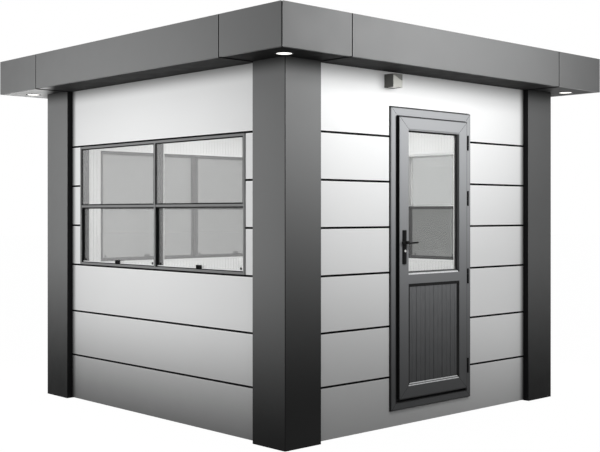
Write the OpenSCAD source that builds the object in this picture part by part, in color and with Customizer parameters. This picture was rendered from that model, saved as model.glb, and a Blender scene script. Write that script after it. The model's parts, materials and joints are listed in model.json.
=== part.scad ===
// Security guard booth: a square flat-roofed cabin with four clad corner posts, panelled walls,
// vertical-sliding windows on three sides and a glazed door on the fourth.
// Millimetres, +Z up, origin on the ground under the centre of the plan. The door faces -Y.

/* [Booth] */
// Width over the corner posts, along the door wall
booth_w = 2936; // [2400:1:3400]
// Depth over the corner posts, along the side walls
booth_d = 2936; // [2400:1:3400]
// Height of the soffit above the ground
soffit_z = 2483; // [2300:1:2900]
// Height of the finished floor above the ground
floor_z = 118; // [80:1:160]

/* [Corner posts] */
// Width of each face of a corner post
post_w = 314; // [200:1:400]
// How far the posts stand out from the cladding
post_proud = 49; // [25:1:80]
// Bevel on the folded outer edge of a post
post_bevel = 3; // [1:0.5:8]

/* [Walls] */
// Thickness of the cladding panels
panel_t = 24; // [18:1:40]
// Thickness of the insulated core with its inner lining
core_t = 56; // [46:1:100]
// Height of the shadow gaps between rows of panels
joint_gap = 13; // [8:1:16]
// Depth of the shadow gaps, down to the sealing strip
joint_depth = 14; // [5:1:16]
// Bevel on the long outer edges of the panels
panel_bevel = 2; // [0.5:0.5:4]
// Height of the lowest row of panels
row_1_h = 352.5; // [290:0.5:420]
// Height of the second row of panels
row_2_h = 355.5; // [290:0.5:420]
// Height of the third row of panels, up to the windows
row_3_h = 375; // [310:0.5:440]
// Number of panel rows beside the windows
window_rows = 3; // [2:1:4]
// Height of each row beside the windows
window_row_h = 316.5; // [300:0.5:375]
// Gap between the panels and the posts or window frames that they meet
panel_fit = 2; // [0.5:0.5:5]
// Clearance under the lowest panels
panel_lift = 4; // [2:1:12]

/* [Windows] */
// Width of the wall between a post and a window
window_pier = 130; // [60:1:300]
// Width of the frame's face
window_face = 16; // [12:1:24]
// How far the frame stands out from the cladding
window_proud = 8; // [4:1:20]
// Bevel on the outer edges of the frame's face
window_bevel = 1.5; // [0.5:0.5:3]
// Depth of the whole frame
window_depth = 87; // [62:1:95]
// Depth of the frame's front lip, to the upper panes
window_lip = 8; // [6:1:10]
// Width of the track behind the lip
window_track = 8; // [5:1:12]
// Width of the mullion between the two bays
mullion_w = 16; // [12:1:30]
// Width of the mullion's web behind its face
mullion_web = 6; // [4:1:10]
// Height of the rail where the upper and lower panes meet
meeting_rail_h = 26; // [22:1:40]
// Height of the meeting rail's lower edge above the window's sill
meeting_rail_up = 444; // [350:1:540]
// Setback of the meeting rail from the frame's face
meeting_rail_back = 4; // [2:1:6]
// Height of the slope under the meeting rail's face
rail_slope_h = 12; // [6:1:18]
// Height of the ledge behind the meeting rail that carries an upper pane
rail_ledge_h = 15; // [13:1:22]
// Thickness of the window panes
pane_t = 8; // [5:1:10]
// Distance from the upper panes' front to the lower sashes
sash_step = 16; // [14:1:22]
// Thickness of the lower sashes
sash_t = 26; // [20:1:30]
// Width of the sash stiles
sash_stile = 9; // [7:1:14]
// Height of the sash's bottom rail
sash_rail = 17; // [14:1:30]
// Running gap between a sash and its tracks
sash_fit = 0.8; // [0.3:0.1:2]
// Width of the sash latches
latch_w = 66; // [45:1:90]
// Depth of the sash latches
latch_d = 15; // [8:1:20]
// Height of the sash latches
latch_h = 31; // [20:1:45]
// Offset of the sash latches to the right of the middle of their bays
latch_off = 0; // [0:1:40]
// Width of the trim round a window inside
trim_w = 16; // [8:1:30]
// Thickness of that trim
trim_t = 8; // [4:1:12]

/* [Door] */
// Offset of the door from the centre of its wall
door_x = 4; // [-150:1:150]
// Width of the door frame
door_frame_w = 884; // [730:1:1040]
// Height of the wall over the door frame, up to the soffit
header_h = 243; // [190:1:300]
// Width of the frame's face
door_frame_face = 50; // [40:1:70]
// How far the frame stands out from the cladding
door_frame_proud = 17.5; // [8:0.5:30]
// Shadow gap between the frame and the cladding round it
frame_fit = 7; // [3:0.5:12]
// Bevel on the outer edges of the frame and of the leaf
door_bevel = 2.5; // [1:0.5:5]
// How far the leaf stands out from the frame
leaf_proud = 20; // [10:1:30]
// Thickness of the leaf
leaf_t = 50; // [46:1:60]
// Gap round the sides and top of the leaf
leaf_gap = 13.5; // [10:0.5:18]
// Gap under the leaf
leaf_under = 24; // [12:1:30]
// Overlap of the door stop behind the leaf
stop_cover = 14; // [8:1:20]
// Gap between the leaf and its stop
stop_gap = 5; // [5:0.5:8]
// Depth of the door stop
stop_t = 20; // [14:1:28]
// Width of the leaf's stiles
stile_w = 93; // [76:1:110]
// Height of the leaf's top rail
top_rail_h = 84; // [70:1:110]
// Height of the leaf's middle rail
mid_rail_h = 65; // [54:1:90]
// Height of the leaf's bottom rail
bottom_rail_h = 85; // [70:1:120]
// Height of the middle rail's lower edge above the leaf's lower edge
mid_rail_up = 806; // [600:1:950]
// Width of the glazing beads
bead_w = 20; // [14:1:26]
// Thickness of the leaf's inner lip that the glass and the panel bear on
leaf_lip = 5; // [4:1:8]
// Thickness of the door's sealed glass
infill_t = 22; // [18:1:26]
// Depth of the lower panel behind the leaf's face
panel_back = 9; // [7:0.5:14]
// Depth of the beads' outer edge behind the leaf's face
bead_back = 2.5; // [1:0.5:3]
// Share of a bead's fall that is a step down its middle
bead_step = 0.35; // [0.1:0.05:0.6]
// Number of boards in the lower panel
panel_boards = 6; // [4:1:9]
// Depth of the V grooves between the boards
board_groove = 5; // [2:0.5:6]
// Depth of the shallow V groove down the middle of a board
mid_groove = 2; // [1:0.5:4]

/* [Door furniture] */
// Height of the lever's spindle above the ground
lever_z = 1291; // [1180:1:1400]
// Length of the lever from its spindle to its tip
lever_l = 114; // [96:1:134]
// Distance of the lever's grip from its back plate
lever_reach = 22; // [18:1:40]
// Thickness of the lever's grip
lever_t = 13; // [9:1:18]
// Height of the lever's grip
lever_h = 13; // [9:1:18]
// Radius of the round root of the lever
lever_root_r = 12; // [9:0.5:14]
// Radius of the neck between lever and back plate
neck_r = 10; // [8:0.5:12]
// Radius of the spindle
spindle_r = 6; // [4:0.5:7.5]
// Running gap round the spindle, the cylinder and the hinge pins
running_fit = 0.3; // [0.2:0.05:0.5]
// Width of the back plates
plate_w = 40; // [32:1:48]
// Height of the back plates
plate_h = 238; // [200:1:280]
// Thickness of the back plates at the middle
plate_t = 9; // [6:1:12]
// Fall of the back plates' rounded face from the middle to the long edges
plate_crown = 4; // [1:0.5:5]
// Corner radius of the back plates
plate_corner = 6; // [2:0.5:12]
// Height of the back plates above the spindle
plate_up = 87; // [60:1:110]
// Distance from the spindle down to the lock cylinder
cylinder_drop = 59; // [48:1:92]
// Radius of the lock cylinder
cylinder_r = 9; // [7:0.5:11]
// How far the lock cylinder stands out from the back plates
cylinder_proud = 3; // [1:0.5:6]
// Width of the keyway
keyway_w = 2.4; // [1.5:0.1:4]
// Height of the keyway
keyway_h = 10; // [6:0.5:12]
// Depth of the keyway
keyway_d = 8; // [4:1:20]
// Height of the lowest hinge's centre above the leaf's lower edge
hinge_1_up = 168; // [120:1:220]
// Height of the second hinge's centre above the leaf's lower edge
hinge_2_up = 836; // [600:1:980]
// Distance of the third hinge's centre below the leaf's upper edge
hinge_3_down = 568.5; // [450:0.5:670]
// Distance of the highest hinge's centre below the leaf's upper edge
hinge_4_down = 155.5; // [120:0.5:220]
// Height of a hinge barrel
hinge_h = 105; // [80:1:130]
// Radius of the hinge barrels
hinge_r = 6; // [5:0.5:6.5]
// Distance of the hinge axis in front of the leaf's face
hinge_off = 2.5; // [2:0.5:6]
// Depth of the middle knuckles' tabs on the leaf's edge
hinge_tab = 18; // [12:1:30]
// Gap between the knuckles of a hinge
knuckle_gap = 1; // [0.5:0.1:2]
// Radius of the hinge pins
pin_r = 3; // [2:0.5:3.5]

/* [Roof] */
// Overhang of the roof beyond the corner posts
roof_overhang = 282; // [230:1:360]
// Height of the fascia
fascia_h = 271; // [220:1:340]
// Thickness of the fascia's folded sheet casing
fascia_t = 25; // [16:1:40]
// Width of the fascia's top flange
flange_w = 75; // [50:1:110]
// Thickness of the fascia's top flange
flange_t = 18; // [10:1:30]
// Width of the joints in the fascia and the soffit
roof_joint = 7; // [4:1:12]
// Thickness of the soffit and ceiling boards
soffit_t = 20; // [12:1:30]
// Depth of the roof's surface below the top of the fascia
roof_upstand = 58; // [45:1:90]

/* [Lights] */
// Distance of the downlights outside the post faces
downlight_out = 83; // [80:1:110]
// Radius of a downlight's lens
lens_r = 50; // [35:1:60]
// Width of a downlight's rim
rim_w = 9; // [6:1:14]
// Thickness of a downlight's rim below the soffit
rim_t = 3; // [2:0.5:6]
// Bevel on the outer edge of a downlight's rim
rim_bevel = 1.5; // [0.5:0.5:2]
// Width of the wall lamp
lamp_w = 92; // [70:1:120]
// Depth of the wall lamp
lamp_d = 85; // [60:1:110]
// Height of the wall lamp
lamp_h = 92; // [70:1:130]
// Offset of the wall lamp from the centre of the door wall
lamp_x = -447; // [-600:1:-350]
// Distance of the wall lamp's top below the soffit
lamp_drop = 23; // [10:1:50]
// Thickness of the wall lamp's casing
lamp_wall = 6; // [4:1:10]

/* [Hidden] */

$fn = 48;
// How far a cut runs past the face that it opens
over = 1;

// Sides of the booth, anticlockwise seen from above
SIDES = ["front", "right", "back", "left"];
WINDOW_SIDES = ["right", "back", "left"];

ANTHRACITE = "#6e7071";
DOOR_GREY = "#5f6266";
WHITE = "#eeefef";
BLACK = "#1b1b1c";
GLASS = "#c3cccd";

// Depths behind the post faces: cladding, core and room
clad_y = post_proud;
core_y = clad_y + panel_t;
room_y = core_y + core_t;
// Half the length of the front wall's core, which closes the front corners
front_reach = booth_w / 2 - core_y;

// Heights of the seams between rows of panels
sill_seam = row_1_h + row_2_h + row_3_h;
head_seam = sill_seam + window_rows * window_row_h;
row_seams = concat(
    [0, row_1_h, row_1_h + row_2_h],
    [for (i = [0:window_rows]) sill_seam + i * window_row_h],
    [soffit_z]);
row_count = len(row_seams) - 1;

win_z0 = sill_seam + joint_gap / 2;
win_z1 = head_seam - joint_gap / 2;
win_face_y = clad_y - window_proud;
pane_y = win_face_y + window_lip;
sash_y = pane_y + sash_step;
win_back_y = win_face_y + window_depth;
rail_z0 = win_z0 + meeting_rail_up;
bay_u0 = mullion_w / 2;
track_u0 = mullion_web / 2;

frame_x0 = door_x - door_frame_w / 2;
frame_x1 = door_x + door_frame_w / 2;
frame_z1 = soffit_z - header_h;
frame_y = clad_y - door_frame_proud;
leaf_y = frame_y - leaf_proud;
leaf_back = leaf_y + leaf_t;
stop_y = leaf_back + stop_gap;
leaf_x0 = frame_x0 + door_frame_face + leaf_gap;
leaf_x1 = frame_x1 - door_frame_face - leaf_gap;
leaf_z0 = floor_z + door_frame_face + leaf_under;
leaf_z1 = frame_z1 - door_frame_face - leaf_gap;
infill_y1 = leaf_back - leaf_lip;
infill_y = infill_y1 - infill_t;
panel_y = leaf_y + panel_back;
// Openings of the leaf, above for the glass and below for the panel
bay_x = [leaf_x0 + stile_w, leaf_x1 - stile_w];
glass_z = [leaf_z0 + mid_rail_up + mid_rail_h, leaf_z1 - top_rail_h];
panel_z = [leaf_z0 + bottom_rail_h, leaf_z0 + mid_rail_up];

lever_x = leaf_x0 + stile_w / 2;
cylinder_z = lever_z - cylinder_drop;
hinge_x = leaf_x1 + leaf_gap / 2;
hinge_y = leaf_y - hinge_off;
hinge_heights = [
    leaf_z0 + hinge_1_up, leaf_z0 + hinge_2_up, leaf_z1 - hinge_3_down, leaf_z1 - hinge_4_down
];
knuckle_h = (hinge_h - 2 * knuckle_gap) / 3;

fascia_z1 = soffit_z + fascia_h;
deck_z0 = soffit_z + soffit_t;
deck_z1 = fascia_z1 - roof_upstand;
lamp_z = soffit_z - lamp_drop - lamp_h;

// Quarter turns from the front to a side
function turns(side) = [for (i = [0:3]) if (SIDES[i] == side) i][0];

// Half the plan along a side, and from the centre out to it
function half_along(side) = (turns(side) % 2 == 0 ? booth_w : booth_d) / 2;
function half_out(side) = (turns(side) % 2 == 0 ? booth_d : booth_w) / 2;

// Half the width of a side's window, and the outer edges of its bays and tracks
function window_half(side) = half_along(side) - post_w - window_pier;
function bay_u1(side) = window_half(side) - window_face;
function track_u1(side) = window_half(side) - window_track;

// Places a piece on a side: x runs to the right seen from outside, y runs inwards from the post faces
module on_side(side) {
    rotate(90 * turns(side))
        translate([0, -half_out(side), 0])
            children();
}

// The right-hand bay and its mirror image on the left
module both_bays() {
    for (flip = [0, 1])
        mirror([flip, 0, 0])
            children();
}

// Box given by its ranges along x, y and z
module block(x, y, z) {
    translate([x[0], y[0], z[0]])
        cube([x[1] - x[0], y[1] - y[0], z[1] - z[0]]);
}

// Extrudes a (y, z) profile along x
module bar_along_x(x, profile) {
    translate([x[0], 0, 0])
        rotate([90, 0, 90])
            linear_extrude(x[1] - x[0])
                polygon(profile);
}

// Extrudes an (x, z) outline along y, with its origin at a point of the wall
module plate_along_y(y, at = [0, 0]) {
    translate([at[0], y[1], at[1]])
        rotate([90, 0, 0])
            linear_extrude(y[1] - y[0])
                children();
}

// Upright round bar
module round_post(x, y, z, r) {
    translate([x, y, z[0]])
        cylinder(r = r, h = z[1] - z[0]);
}

// Round bar along y
module bar_along_y(x, z, y, r) {
    translate([x, y[0], z])
        rotate([-90, 0, 0])
            cylinder(r = r, h = y[1] - y[0]);
}

// Cuts that bevel the four front edges of an upright slab with its face at y
module front_bevels(x, y, z, size) {
    cut = size + over;
    for (end = [0, 1]) {
        into = end == 0 ? 1 : -1;
        bar_along_x([x[0] - over, x[1] + over], [
            [y - over, z[end] + into * cut], [y + cut, z[end] - into * over], [y - over, z[end] - into * over]
        ]);
        translate([0, 0, z[0] - over])
            linear_extrude(z[1] - z[0] + 2 * over)
                polygon([
                    [x[end] + into * cut, y - over], [x[end] - into * over, y + cut],
                    [x[end] - into * over, y - over]
                ]);
    }
}

module floor_deck() {
    color("#8c8f92")
        block([-booth_w / 2 + room_y, booth_w / 2 - room_y],
              [-booth_d / 2 + room_y, booth_d / 2 - room_y],
              [0, floor_z]);
}

// Folded corner casing that wraps the meeting of two walls
module corner_post(mirror_x, mirror_y) {
    outline = [
        [post_bevel, 0], [post_w, 0], [post_w, core_y], [core_y, core_y],
        [core_y, post_w], [0, post_w], [0, post_bevel]
    ];
    color(ANTHRACITE)
        mirror([mirror_x, 0, 0])
            mirror([0, mirror_y, 0])
                translate([-booth_w / 2, -booth_d / 2, 0])
                    linear_extrude(soffit_z)
                        polygon(outline);
}

// Slab of the front wall's core
module front_wall_slab(x, z) {
    color(WHITE)
        on_side("front")
            block(x, [core_y, room_y], z);
}

// Wall core with its window opening; the back wall also closes the corners
module window_wall(side) {
    reach = half_along(side) - (side == "back" ? core_y : room_y);
    half = window_half(side);
    color(WHITE)
        on_side(side)
            difference() {
                block([-reach, reach], [core_y, room_y], [0, soffit_z]);
                block([-half, half], [core_y - over, room_y + over], [win_z0, win_z1]);
            }
}

// Cladding panel of one row, bevelled along its upper and lower edges
module cladding_panel(half, z) {
    bar_along_x([-half, half], [
        [clad_y + panel_bevel, z[0]], [core_y, z[0]], [core_y, z[1]],
        [clad_y + panel_bevel, z[1]], [clad_y, z[1] - panel_bevel], [clad_y, z[0] + panel_bevel]
    ]);
}

// Opening in the cladding of a side for its door frame or window frame
module cladding_opening(side) {
    y = [clad_y - over, core_y + over];
    half = window_half(side) + panel_fit;
    if (side == "front")
        block([frame_x0 - frame_fit, frame_x1 + frame_fit], y, [floor_z - frame_fit, frame_z1 + frame_fit]);
    else
        block([-half, half], y, [win_z0 - joint_gap / 2, win_z1 + joint_gap / 2]);
}

module cladding(side) {
    half = half_along(side) - post_w - panel_fit;
    color(WHITE)
        on_side(side)
            difference() {
                for (i = [0:row_count - 1])
                    cladding_panel(half, [
                        row_seams[i] + (i == 0 ? panel_lift : joint_gap / 2),
                        row_seams[i + 1] - (i == row_count - 1 ? 0 : joint_gap / 2)
                    ]);
                cladding_opening(side);
            }
}

// Dark sealing strips at the bottom of the shadow gaps of the panels and round the door frame
module panel_joints() {
    y = [clad_y + joint_depth, core_y];
    cut_y = [clad_y - over, core_y + over];
    color(BLACK) {
        for (side = SIDES)
            on_side(side)
                difference() {
                    half = half_along(side) - post_w - panel_fit;
                    for (i = [1:row_count - 1])
                        block([-half, half], y, [row_seams[i] - joint_gap / 2, row_seams[i] + joint_gap / 2]);
                    if (side == "front")
                        cladding_opening(side);
                    else
                        block([-window_half(side) - panel_fit, window_half(side) + panel_fit], cut_y,
                              [win_z0, win_z1]);
                }
        on_side("front")
            difference() {
                block([frame_x0 - frame_fit, frame_x1 + frame_fit], y,
                      [floor_z - frame_fit, frame_z1 + frame_fit]);
                block([frame_x0, frame_x1], cut_y, [floor_z, frame_z1]);
            }
    }
}

// Fixed frame of a vertical-sliding window: stepped tracks, a mullion and a meeting rail in each bay
module window_frame(side) {
    half = window_half(side);
    nose_y = win_face_y + meeting_rail_back;
    ledge_y = pane_y + pane_t + meeting_rail_back;
    ledge_z = rail_z0 + rail_ledge_h;
    color(ANTHRACITE)
        on_side(side) {
            difference() {
                block([-half, half], [win_face_y, win_back_y], [win_z0, win_z1]);
                front_bevels([-half, half], win_face_y, [win_z0, win_z1], window_bevel);
                both_bays() {
                    block([bay_u0, bay_u1(side)], [win_face_y - over, win_back_y + over],
                          [win_z0 + window_face, win_z1 - window_face]);
                    block([track_u0, track_u1(side)], [pane_y, sash_y + sash_t + sash_fit],
                          [win_z0 + window_track, win_z1 - window_track]);
                }
            }
            both_bays()
                bar_along_x([track_u0, track_u1(side)], [
                    [nose_y, rail_z0 + rail_slope_h], [nose_y, rail_z0 + meeting_rail_h],
                    [pane_y, rail_z0 + meeting_rail_h], [pane_y, ledge_z], [ledge_y, ledge_z],
                    [ledge_y, rail_z0], [ledge_y - meeting_rail_back, rail_z0]
                ]);
        }
}

// Lower sashes, in the inner tracks, standing on the frame's sill
module window_sashes(side) {
    color(BLACK)
        on_side(side)
            both_bays()
                difference() {
                    block([track_u0 + sash_fit, track_u1(side) - sash_fit], [sash_y, sash_y + sash_t],
                          [win_z0 + window_track, rail_z0 + meeting_rail_h]);
                    sash_opening(side, [sash_y - over, sash_y + sash_t + over]);
                }
}

module sash_opening(side, y) {
    inset = sash_fit + sash_stile;
    block([track_u0 + inset, track_u1(side) - inset], y, [win_z0 + window_track + sash_rail, rail_z0]);
}

// Upper panes behind the frame's lip, lower panes in the sashes
module window_glass(side) {
    lower_y = sash_y + (sash_t - pane_t) / 2;
    color(GLASS)
        on_side(side)
            both_bays() {
                block([track_u0 + sash_fit, track_u1(side) - sash_fit], [pane_y, pane_y + pane_t],
                      [rail_z0 + rail_ledge_h, win_z1 - window_track - sash_fit]);
                sash_opening(side, [lower_y, lower_y + pane_t]);
            }
}

// Latch on the bottom rail of each sash, above the sill's lip
module window_latches() {
    latch_z = win_z0 + window_face;
    color(BLACK)
        for (side = WINDOW_SIDES) {
            mid = (bay_u0 + bay_u1(side)) / 2;
            on_side(side)
                for (u = [latch_off - mid, latch_off + mid])
                    block([u - latch_w / 2, u + latch_w / 2], [sash_y - latch_d, sash_y],
                          [latch_z, latch_z + latch_h]);
        }
}

// Flat trims round the window openings inside
module window_trims() {
    color(WHITE)
        for (side = WINDOW_SIDES) {
            inner = window_half(side);
            outer = inner + trim_w;
            on_side(side)
                difference() {
                    block([-outer, outer], [room_y, room_y + trim_t], [win_z0 - trim_w, win_z1 + trim_w]);
                    block([-inner, inner], [room_y - over, room_y + trim_t + over],
                          [win_z0, win_z1]);
                }
        }
}

// Door frame with a rebate for the leaf, a stop behind it and a wider reveal inside
module door_frame() {
    color(DOOR_GREY)
        on_side("front")
            difference() {
                block([frame_x0, frame_x1], [frame_y, room_y], [floor_z, frame_z1]);
                front_bevels([frame_x0, frame_x1], frame_y, [floor_z, frame_z1], door_bevel);
                block([leaf_x0 - leaf_gap, leaf_x1 + leaf_gap], [frame_y - over, stop_y],
                      [leaf_z0 - leaf_under, leaf_z1 + leaf_gap]);
                block([leaf_x0 + stop_cover, leaf_x1 - stop_cover], [stop_y - over, room_y + over],
                      [leaf_z0 + stop_cover, leaf_z1 - stop_cover]);
                block([leaf_x0 - leaf_gap, leaf_x1 + leaf_gap], [stop_y + stop_t, room_y + over],
                      [leaf_z0 + stop_cover, leaf_z1 + leaf_gap]);
            }
}

// Leaf frame of stiles and rails, rebated from the outside for glass and panel
module door_leaf() {
    color(DOOR_GREY)
        on_side("front")
            difference() {
                block([leaf_x0, leaf_x1], [leaf_y, leaf_back], [leaf_z0, leaf_z1]);
                front_bevels([leaf_x0, leaf_x1], leaf_y, [leaf_z0, leaf_z1], door_bevel);
                for (z = [glass_z, panel_z]) {
                    block(bay_x, [leaf_y - over, infill_y1], z);
                    block([bay_x[0] + bead_w, bay_x[1] - bead_w], [leaf_y - over, leaf_back + over],
                          [z[0] + bead_w, z[1] - bead_w]);
                }
                furniture_bores([leaf_y - over, leaf_back + over]);
            }
}

// Bores for the spindle and the lock cylinder
module furniture_bores(y) {
    bar_along_y(lever_x, lever_z, y, spindle_r + running_fit);
    bar_along_y(lever_x, cylinder_z, y, cylinder_r);
}

// Stepped sloping bead round a bay of the leaf, down to the face of its infill: four mitred bars
module bead_ring(z, face_y) {
    w = bay_x[1] - bay_x[0];
    h = z[1] - z[0];
    top_y = leaf_y + bead_back;
    fall = face_y - bead_back - top_y;
    mid_y = top_y + fall * (1 - bead_step) / 2;
    translate([(bay_x[0] + bay_x[1]) / 2, 0, (z[0] + z[1]) / 2])
        for (turn = [0:3]) {
            long = (turn % 2 == 0 ? w : h) / 2;
            out = (turn % 2 == 0 ? h : w) / 2;
            rotate([0, 90 * turn, 0])
                intersection() {
                    bar_along_x([-long, long], [
                        [face_y, -out], [top_y, -out], [mid_y, -out + bead_w / 2],
                        [mid_y + fall * bead_step, -out + bead_w / 2],
                        [face_y - bead_back, -out + bead_w], [face_y, -out + bead_w]
                    ]);
                    plate_along_y([leaf_y, face_y])
                        polygon([
                            [-long, -out], [long, -out],
                            [long - bead_w, -out + bead_w], [-long + bead_w, -out + bead_w]
                        ]);
                }
        }
}

module door_beads() {
    color(DOOR_GREY)
        on_side("front") {
            bead_ring(glass_z, infill_y);
            bead_ring(panel_z, panel_y);
        }
}

module door_glass() {
    color(GLASS)
        on_side("front")
            block(bay_x, [infill_y, infill_y1], glass_z);
}

// Lower panel of upright boards, with a V groove between boards and a shallow one down each board
module door_panel() {
    pitch = (bay_x[1] - bay_x[0]) / panel_boards / 2;
    grooves = [
        for (i = [1:2 * panel_boards - 1])
            let (x = bay_x[0] + i * pitch, deep = i % 2 == 0 ? board_groove : mid_groove)
                each [[x - deep, panel_y], [x, panel_y + deep], [x + deep, panel_y]]
    ];
    color(DOOR_GREY)
        on_side("front")
            translate([0, 0, panel_z[0]])
                linear_extrude(panel_z[1] - panel_z[0])
                    polygon(concat(
                        [[bay_x[0], infill_y1], [bay_x[0], panel_y]],
                        grooves,
                        [[bay_x[1], panel_y], [bay_x[1], infill_y1]]));
}

// Two outer knuckles with their pin, on lugs fixed to the frame's face
module frame_hinges() {
    x1 = leaf_x1 + leaf_gap + hinge_r / 2;
    color(BLACK)
        on_side("front")
            for (mid = hinge_heights) {
                z0 = mid - hinge_h / 2;
                z1 = mid + hinge_h / 2;
                round_post(hinge_x, hinge_y, [z0, z1], pin_r);
                for (z = [[z0, z0 + knuckle_h], [z1 - knuckle_h, z1]]) {
                    round_post(hinge_x, hinge_y, z, hinge_r);
                    block([hinge_x, x1], [hinge_y, frame_y], z);
                }
            }
}

// Middle knuckles, on tabs fixed to the leaf's edge
module leaf_hinges() {
    color(BLACK)
        on_side("front")
            for (mid = hinge_heights) {
                z0 = mid - knuckle_h / 2;
                z1 = mid + knuckle_h / 2;
                difference() {
                    union() {
                        round_post(hinge_x, hinge_y, [z0, z1], hinge_r);
                        block([leaf_x1, hinge_x], [hinge_y, hinge_y + hinge_tab], [z0, z1]);
                    }
                    round_post(hinge_x, hinge_y, [z0 - over, z1 + over], pin_r + running_fit);
                }
            }
}

// Outline of a back plate about the spindle, with rounded corners
module plate_outline() {
    half = plate_w / 2 - plate_corner;
    z = [plate_up - plate_h + plate_corner, plate_up - plate_corner];
    translate([-half, z[0] - plate_corner])
        square([2 * half, plate_h]);
    translate([-plate_w / 2, z[0]])
        square([plate_w, z[1] - z[0]]);
    for (x = [-half, half], corner_z = z)
        translate([x, corner_z])
            circle(plate_corner);
}

// Back plate whose face is part of a large upright cylinder; the face looks along -y
module back_plate() {
    crown_r = (pow(plate_w / 2, 2) + pow(plate_crown, 2)) / (2 * plate_crown);
    intersection() {
        plate_along_y([-plate_t, 0])
            plate_outline();
        round_post(0, crown_r - plate_t, [plate_up - plate_h - over, plate_up + over], crown_r);
    }
}

// Back plates on both faces of the leaf
module handle_plates() {
    color(BLACK)
        on_side("front")
            difference() {
                union() {
                    translate([lever_x, leaf_y, lever_z])
                        back_plate();
                    translate([lever_x, leaf_back, lever_z])
                        mirror([0, 1, 0])
                            back_plate();
                }
                furniture_bores([leaf_y - plate_t - over, leaf_back + plate_t + over]);
            }
}

// Key cylinder through the leaf, with a keyway at both ends
module lock_cylinder() {
    y = [leaf_y - plate_t - cylinder_proud, leaf_back + plate_t + cylinder_proud];
    color("#c9c9c6")
        on_side("front")
            difference() {
                bar_along_y(lever_x, cylinder_z, y, cylinder_r - running_fit);
                for (end = y)
                    block([lever_x - keyway_w / 2, lever_x + keyway_w / 2], [end - keyway_d, end + keyway_d],
                          [cylinder_z - keyway_h / 2, cylinder_z + keyway_h / 2]);
            }
}

// Grip from a round root at the spindle towards the hinges
module grip_outline() {
    tip_r = lever_h / 2;
    circle(lever_root_r);
    translate([0, -tip_r])
        square([lever_l - tip_r, lever_h]);
    translate([lever_l - tip_r, 0])
        circle(tip_r);
}

// Outer and inner levers on one spindle
module door_lever() {
    outer = leaf_y - plate_t - running_fit;
    inner = leaf_back + plate_t + running_fit;
    color(BLACK)
        on_side("front") {
            bar_along_y(lever_x, lever_z, [outer - lever_reach, inner + lever_reach], spindle_r);
            bar_along_y(lever_x, lever_z, [outer - lever_reach, outer], neck_r);
            bar_along_y(lever_x, lever_z, [inner, inner + lever_reach], neck_r);
            for (y = [outer - lever_reach - lever_t, inner + lever_reach])
                plate_along_y([y, y + lever_t], [lever_x, lever_z])
                    grip_outline();
        }
}

// Fascia of one side: three folded lengths, mitred at the corners, with a flange on top
module fascia(side) {
    reach = half_along(side) + roof_overhang;
    seam = half_along(side) - post_w;
    y0 = -roof_overhang;
    profile = [
        [y0, soffit_z], [y0 + fascia_t, soffit_z], [y0 + fascia_t, fascia_z1 - flange_t],
        [y0 + flange_w, fascia_z1 - flange_t], [y0 + flange_w, fascia_z1], [y0, fascia_z1]
    ];
    mitre = roof_joint / sqrt(2);
    color(ANTHRACITE)
        on_side(side) {
            bar_along_x([-seam + roof_joint / 2, seam - roof_joint / 2], profile);
            for (end = [0, 1])
                mirror([end, 0, 0])
                    intersection() {
                        bar_along_x([-reach, -seam - roof_joint / 2], profile);
                        translate([0, 0, soffit_z])
                            linear_extrude(fascia_h)
                                polygon([
                                    [-reach + mitre, y0], [-seam, y0], [-seam, y0 + flange_w],
                                    [-reach + flange_w + mitre, y0 + flange_w]
                                ]);
                    }
        }
}

// Soffit boards: a square at each corner with a hole for its light, and a strip along each side
module soffit() {
    z = [soffit_z, soffit_z + soffit_t];
    cut_z = [z[0] - over, z[1] + over];
    edge = fascia_t - roof_overhang;
    inner = post_w - roof_joint / 2;
    color(ANTHRACITE) {
        for (mx = [0, 1], my = [0, 1])
            mirror([mx, 0, 0])
                mirror([0, my, 0])
                    translate([-booth_w / 2, -booth_d / 2, 0])
                        difference() {
                            block([edge, inner], [edge, inner], z);
                            block([room_y, inner + over], [room_y, inner + over], cut_z);
                            round_post(-downlight_out, -downlight_out, cut_z, lens_r + rim_w / 2);
                        }
        for (side = SIDES)
            on_side(side) {
                half = half_along(side) - post_w - roof_joint / 2;
                block([-half, half], [edge, room_y], z);
            }
    }
}

module ceiling() {
    color(WHITE)
        block([-booth_w / 2 + room_y, booth_w / 2 - room_y],
              [-booth_d / 2 + room_y, booth_d / 2 - room_y],
              [soffit_z, deck_z0]);
}

// Roof cassette behind the fascia, with its weathered surface below the fascia's top
module roof_deck() {
    reach = roof_overhang - fascia_t;
    color("#4a4c4e")
        block([-booth_w / 2 - reach, booth_w / 2 + reach],
              [-booth_d / 2 - reach, booth_d / 2 + reach],
              [deck_z0, deck_z1]);
}

// Places a piece at the four downlights, under the corners of the soffit
module at_downlights() {
    for (x = [-1, 1], y = [-1, 1])
        translate([x * (booth_w / 2 + downlight_out), y * (booth_d / 2 + downlight_out), soffit_z])
            children();
}

// Turned rims of the downlights: a flange under the soffit and a sleeve up its hole
module downlight_rims() {
    rim_r = lens_r + rim_w;
    sleeve_r = lens_r + rim_w / 2 - running_fit;
    color("#d8d8d6")
        at_downlights()
            rotate_extrude()
                polygon([
                    [lens_r, -rim_t], [rim_r - rim_bevel, -rim_t], [rim_r, rim_bevel - rim_t],
                    [rim_r, 0], [sleeve_r, 0], [sleeve_r, soffit_t], [lens_r, soffit_t]
                ]);
}

// Lenses of the downlights and of the wall lamp
module lamp_lenses() {
    color("#fffdf2") {
        at_downlights()
            translate([0, 0, -rim_t / 2])
                cylinder(r = lens_r - running_fit, h = soffit_t + rim_t / 2);
        on_side("front")
            lamp_well([lamp_z + lamp_wall / 2, lamp_z + lamp_wall]);
    }
}

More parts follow.
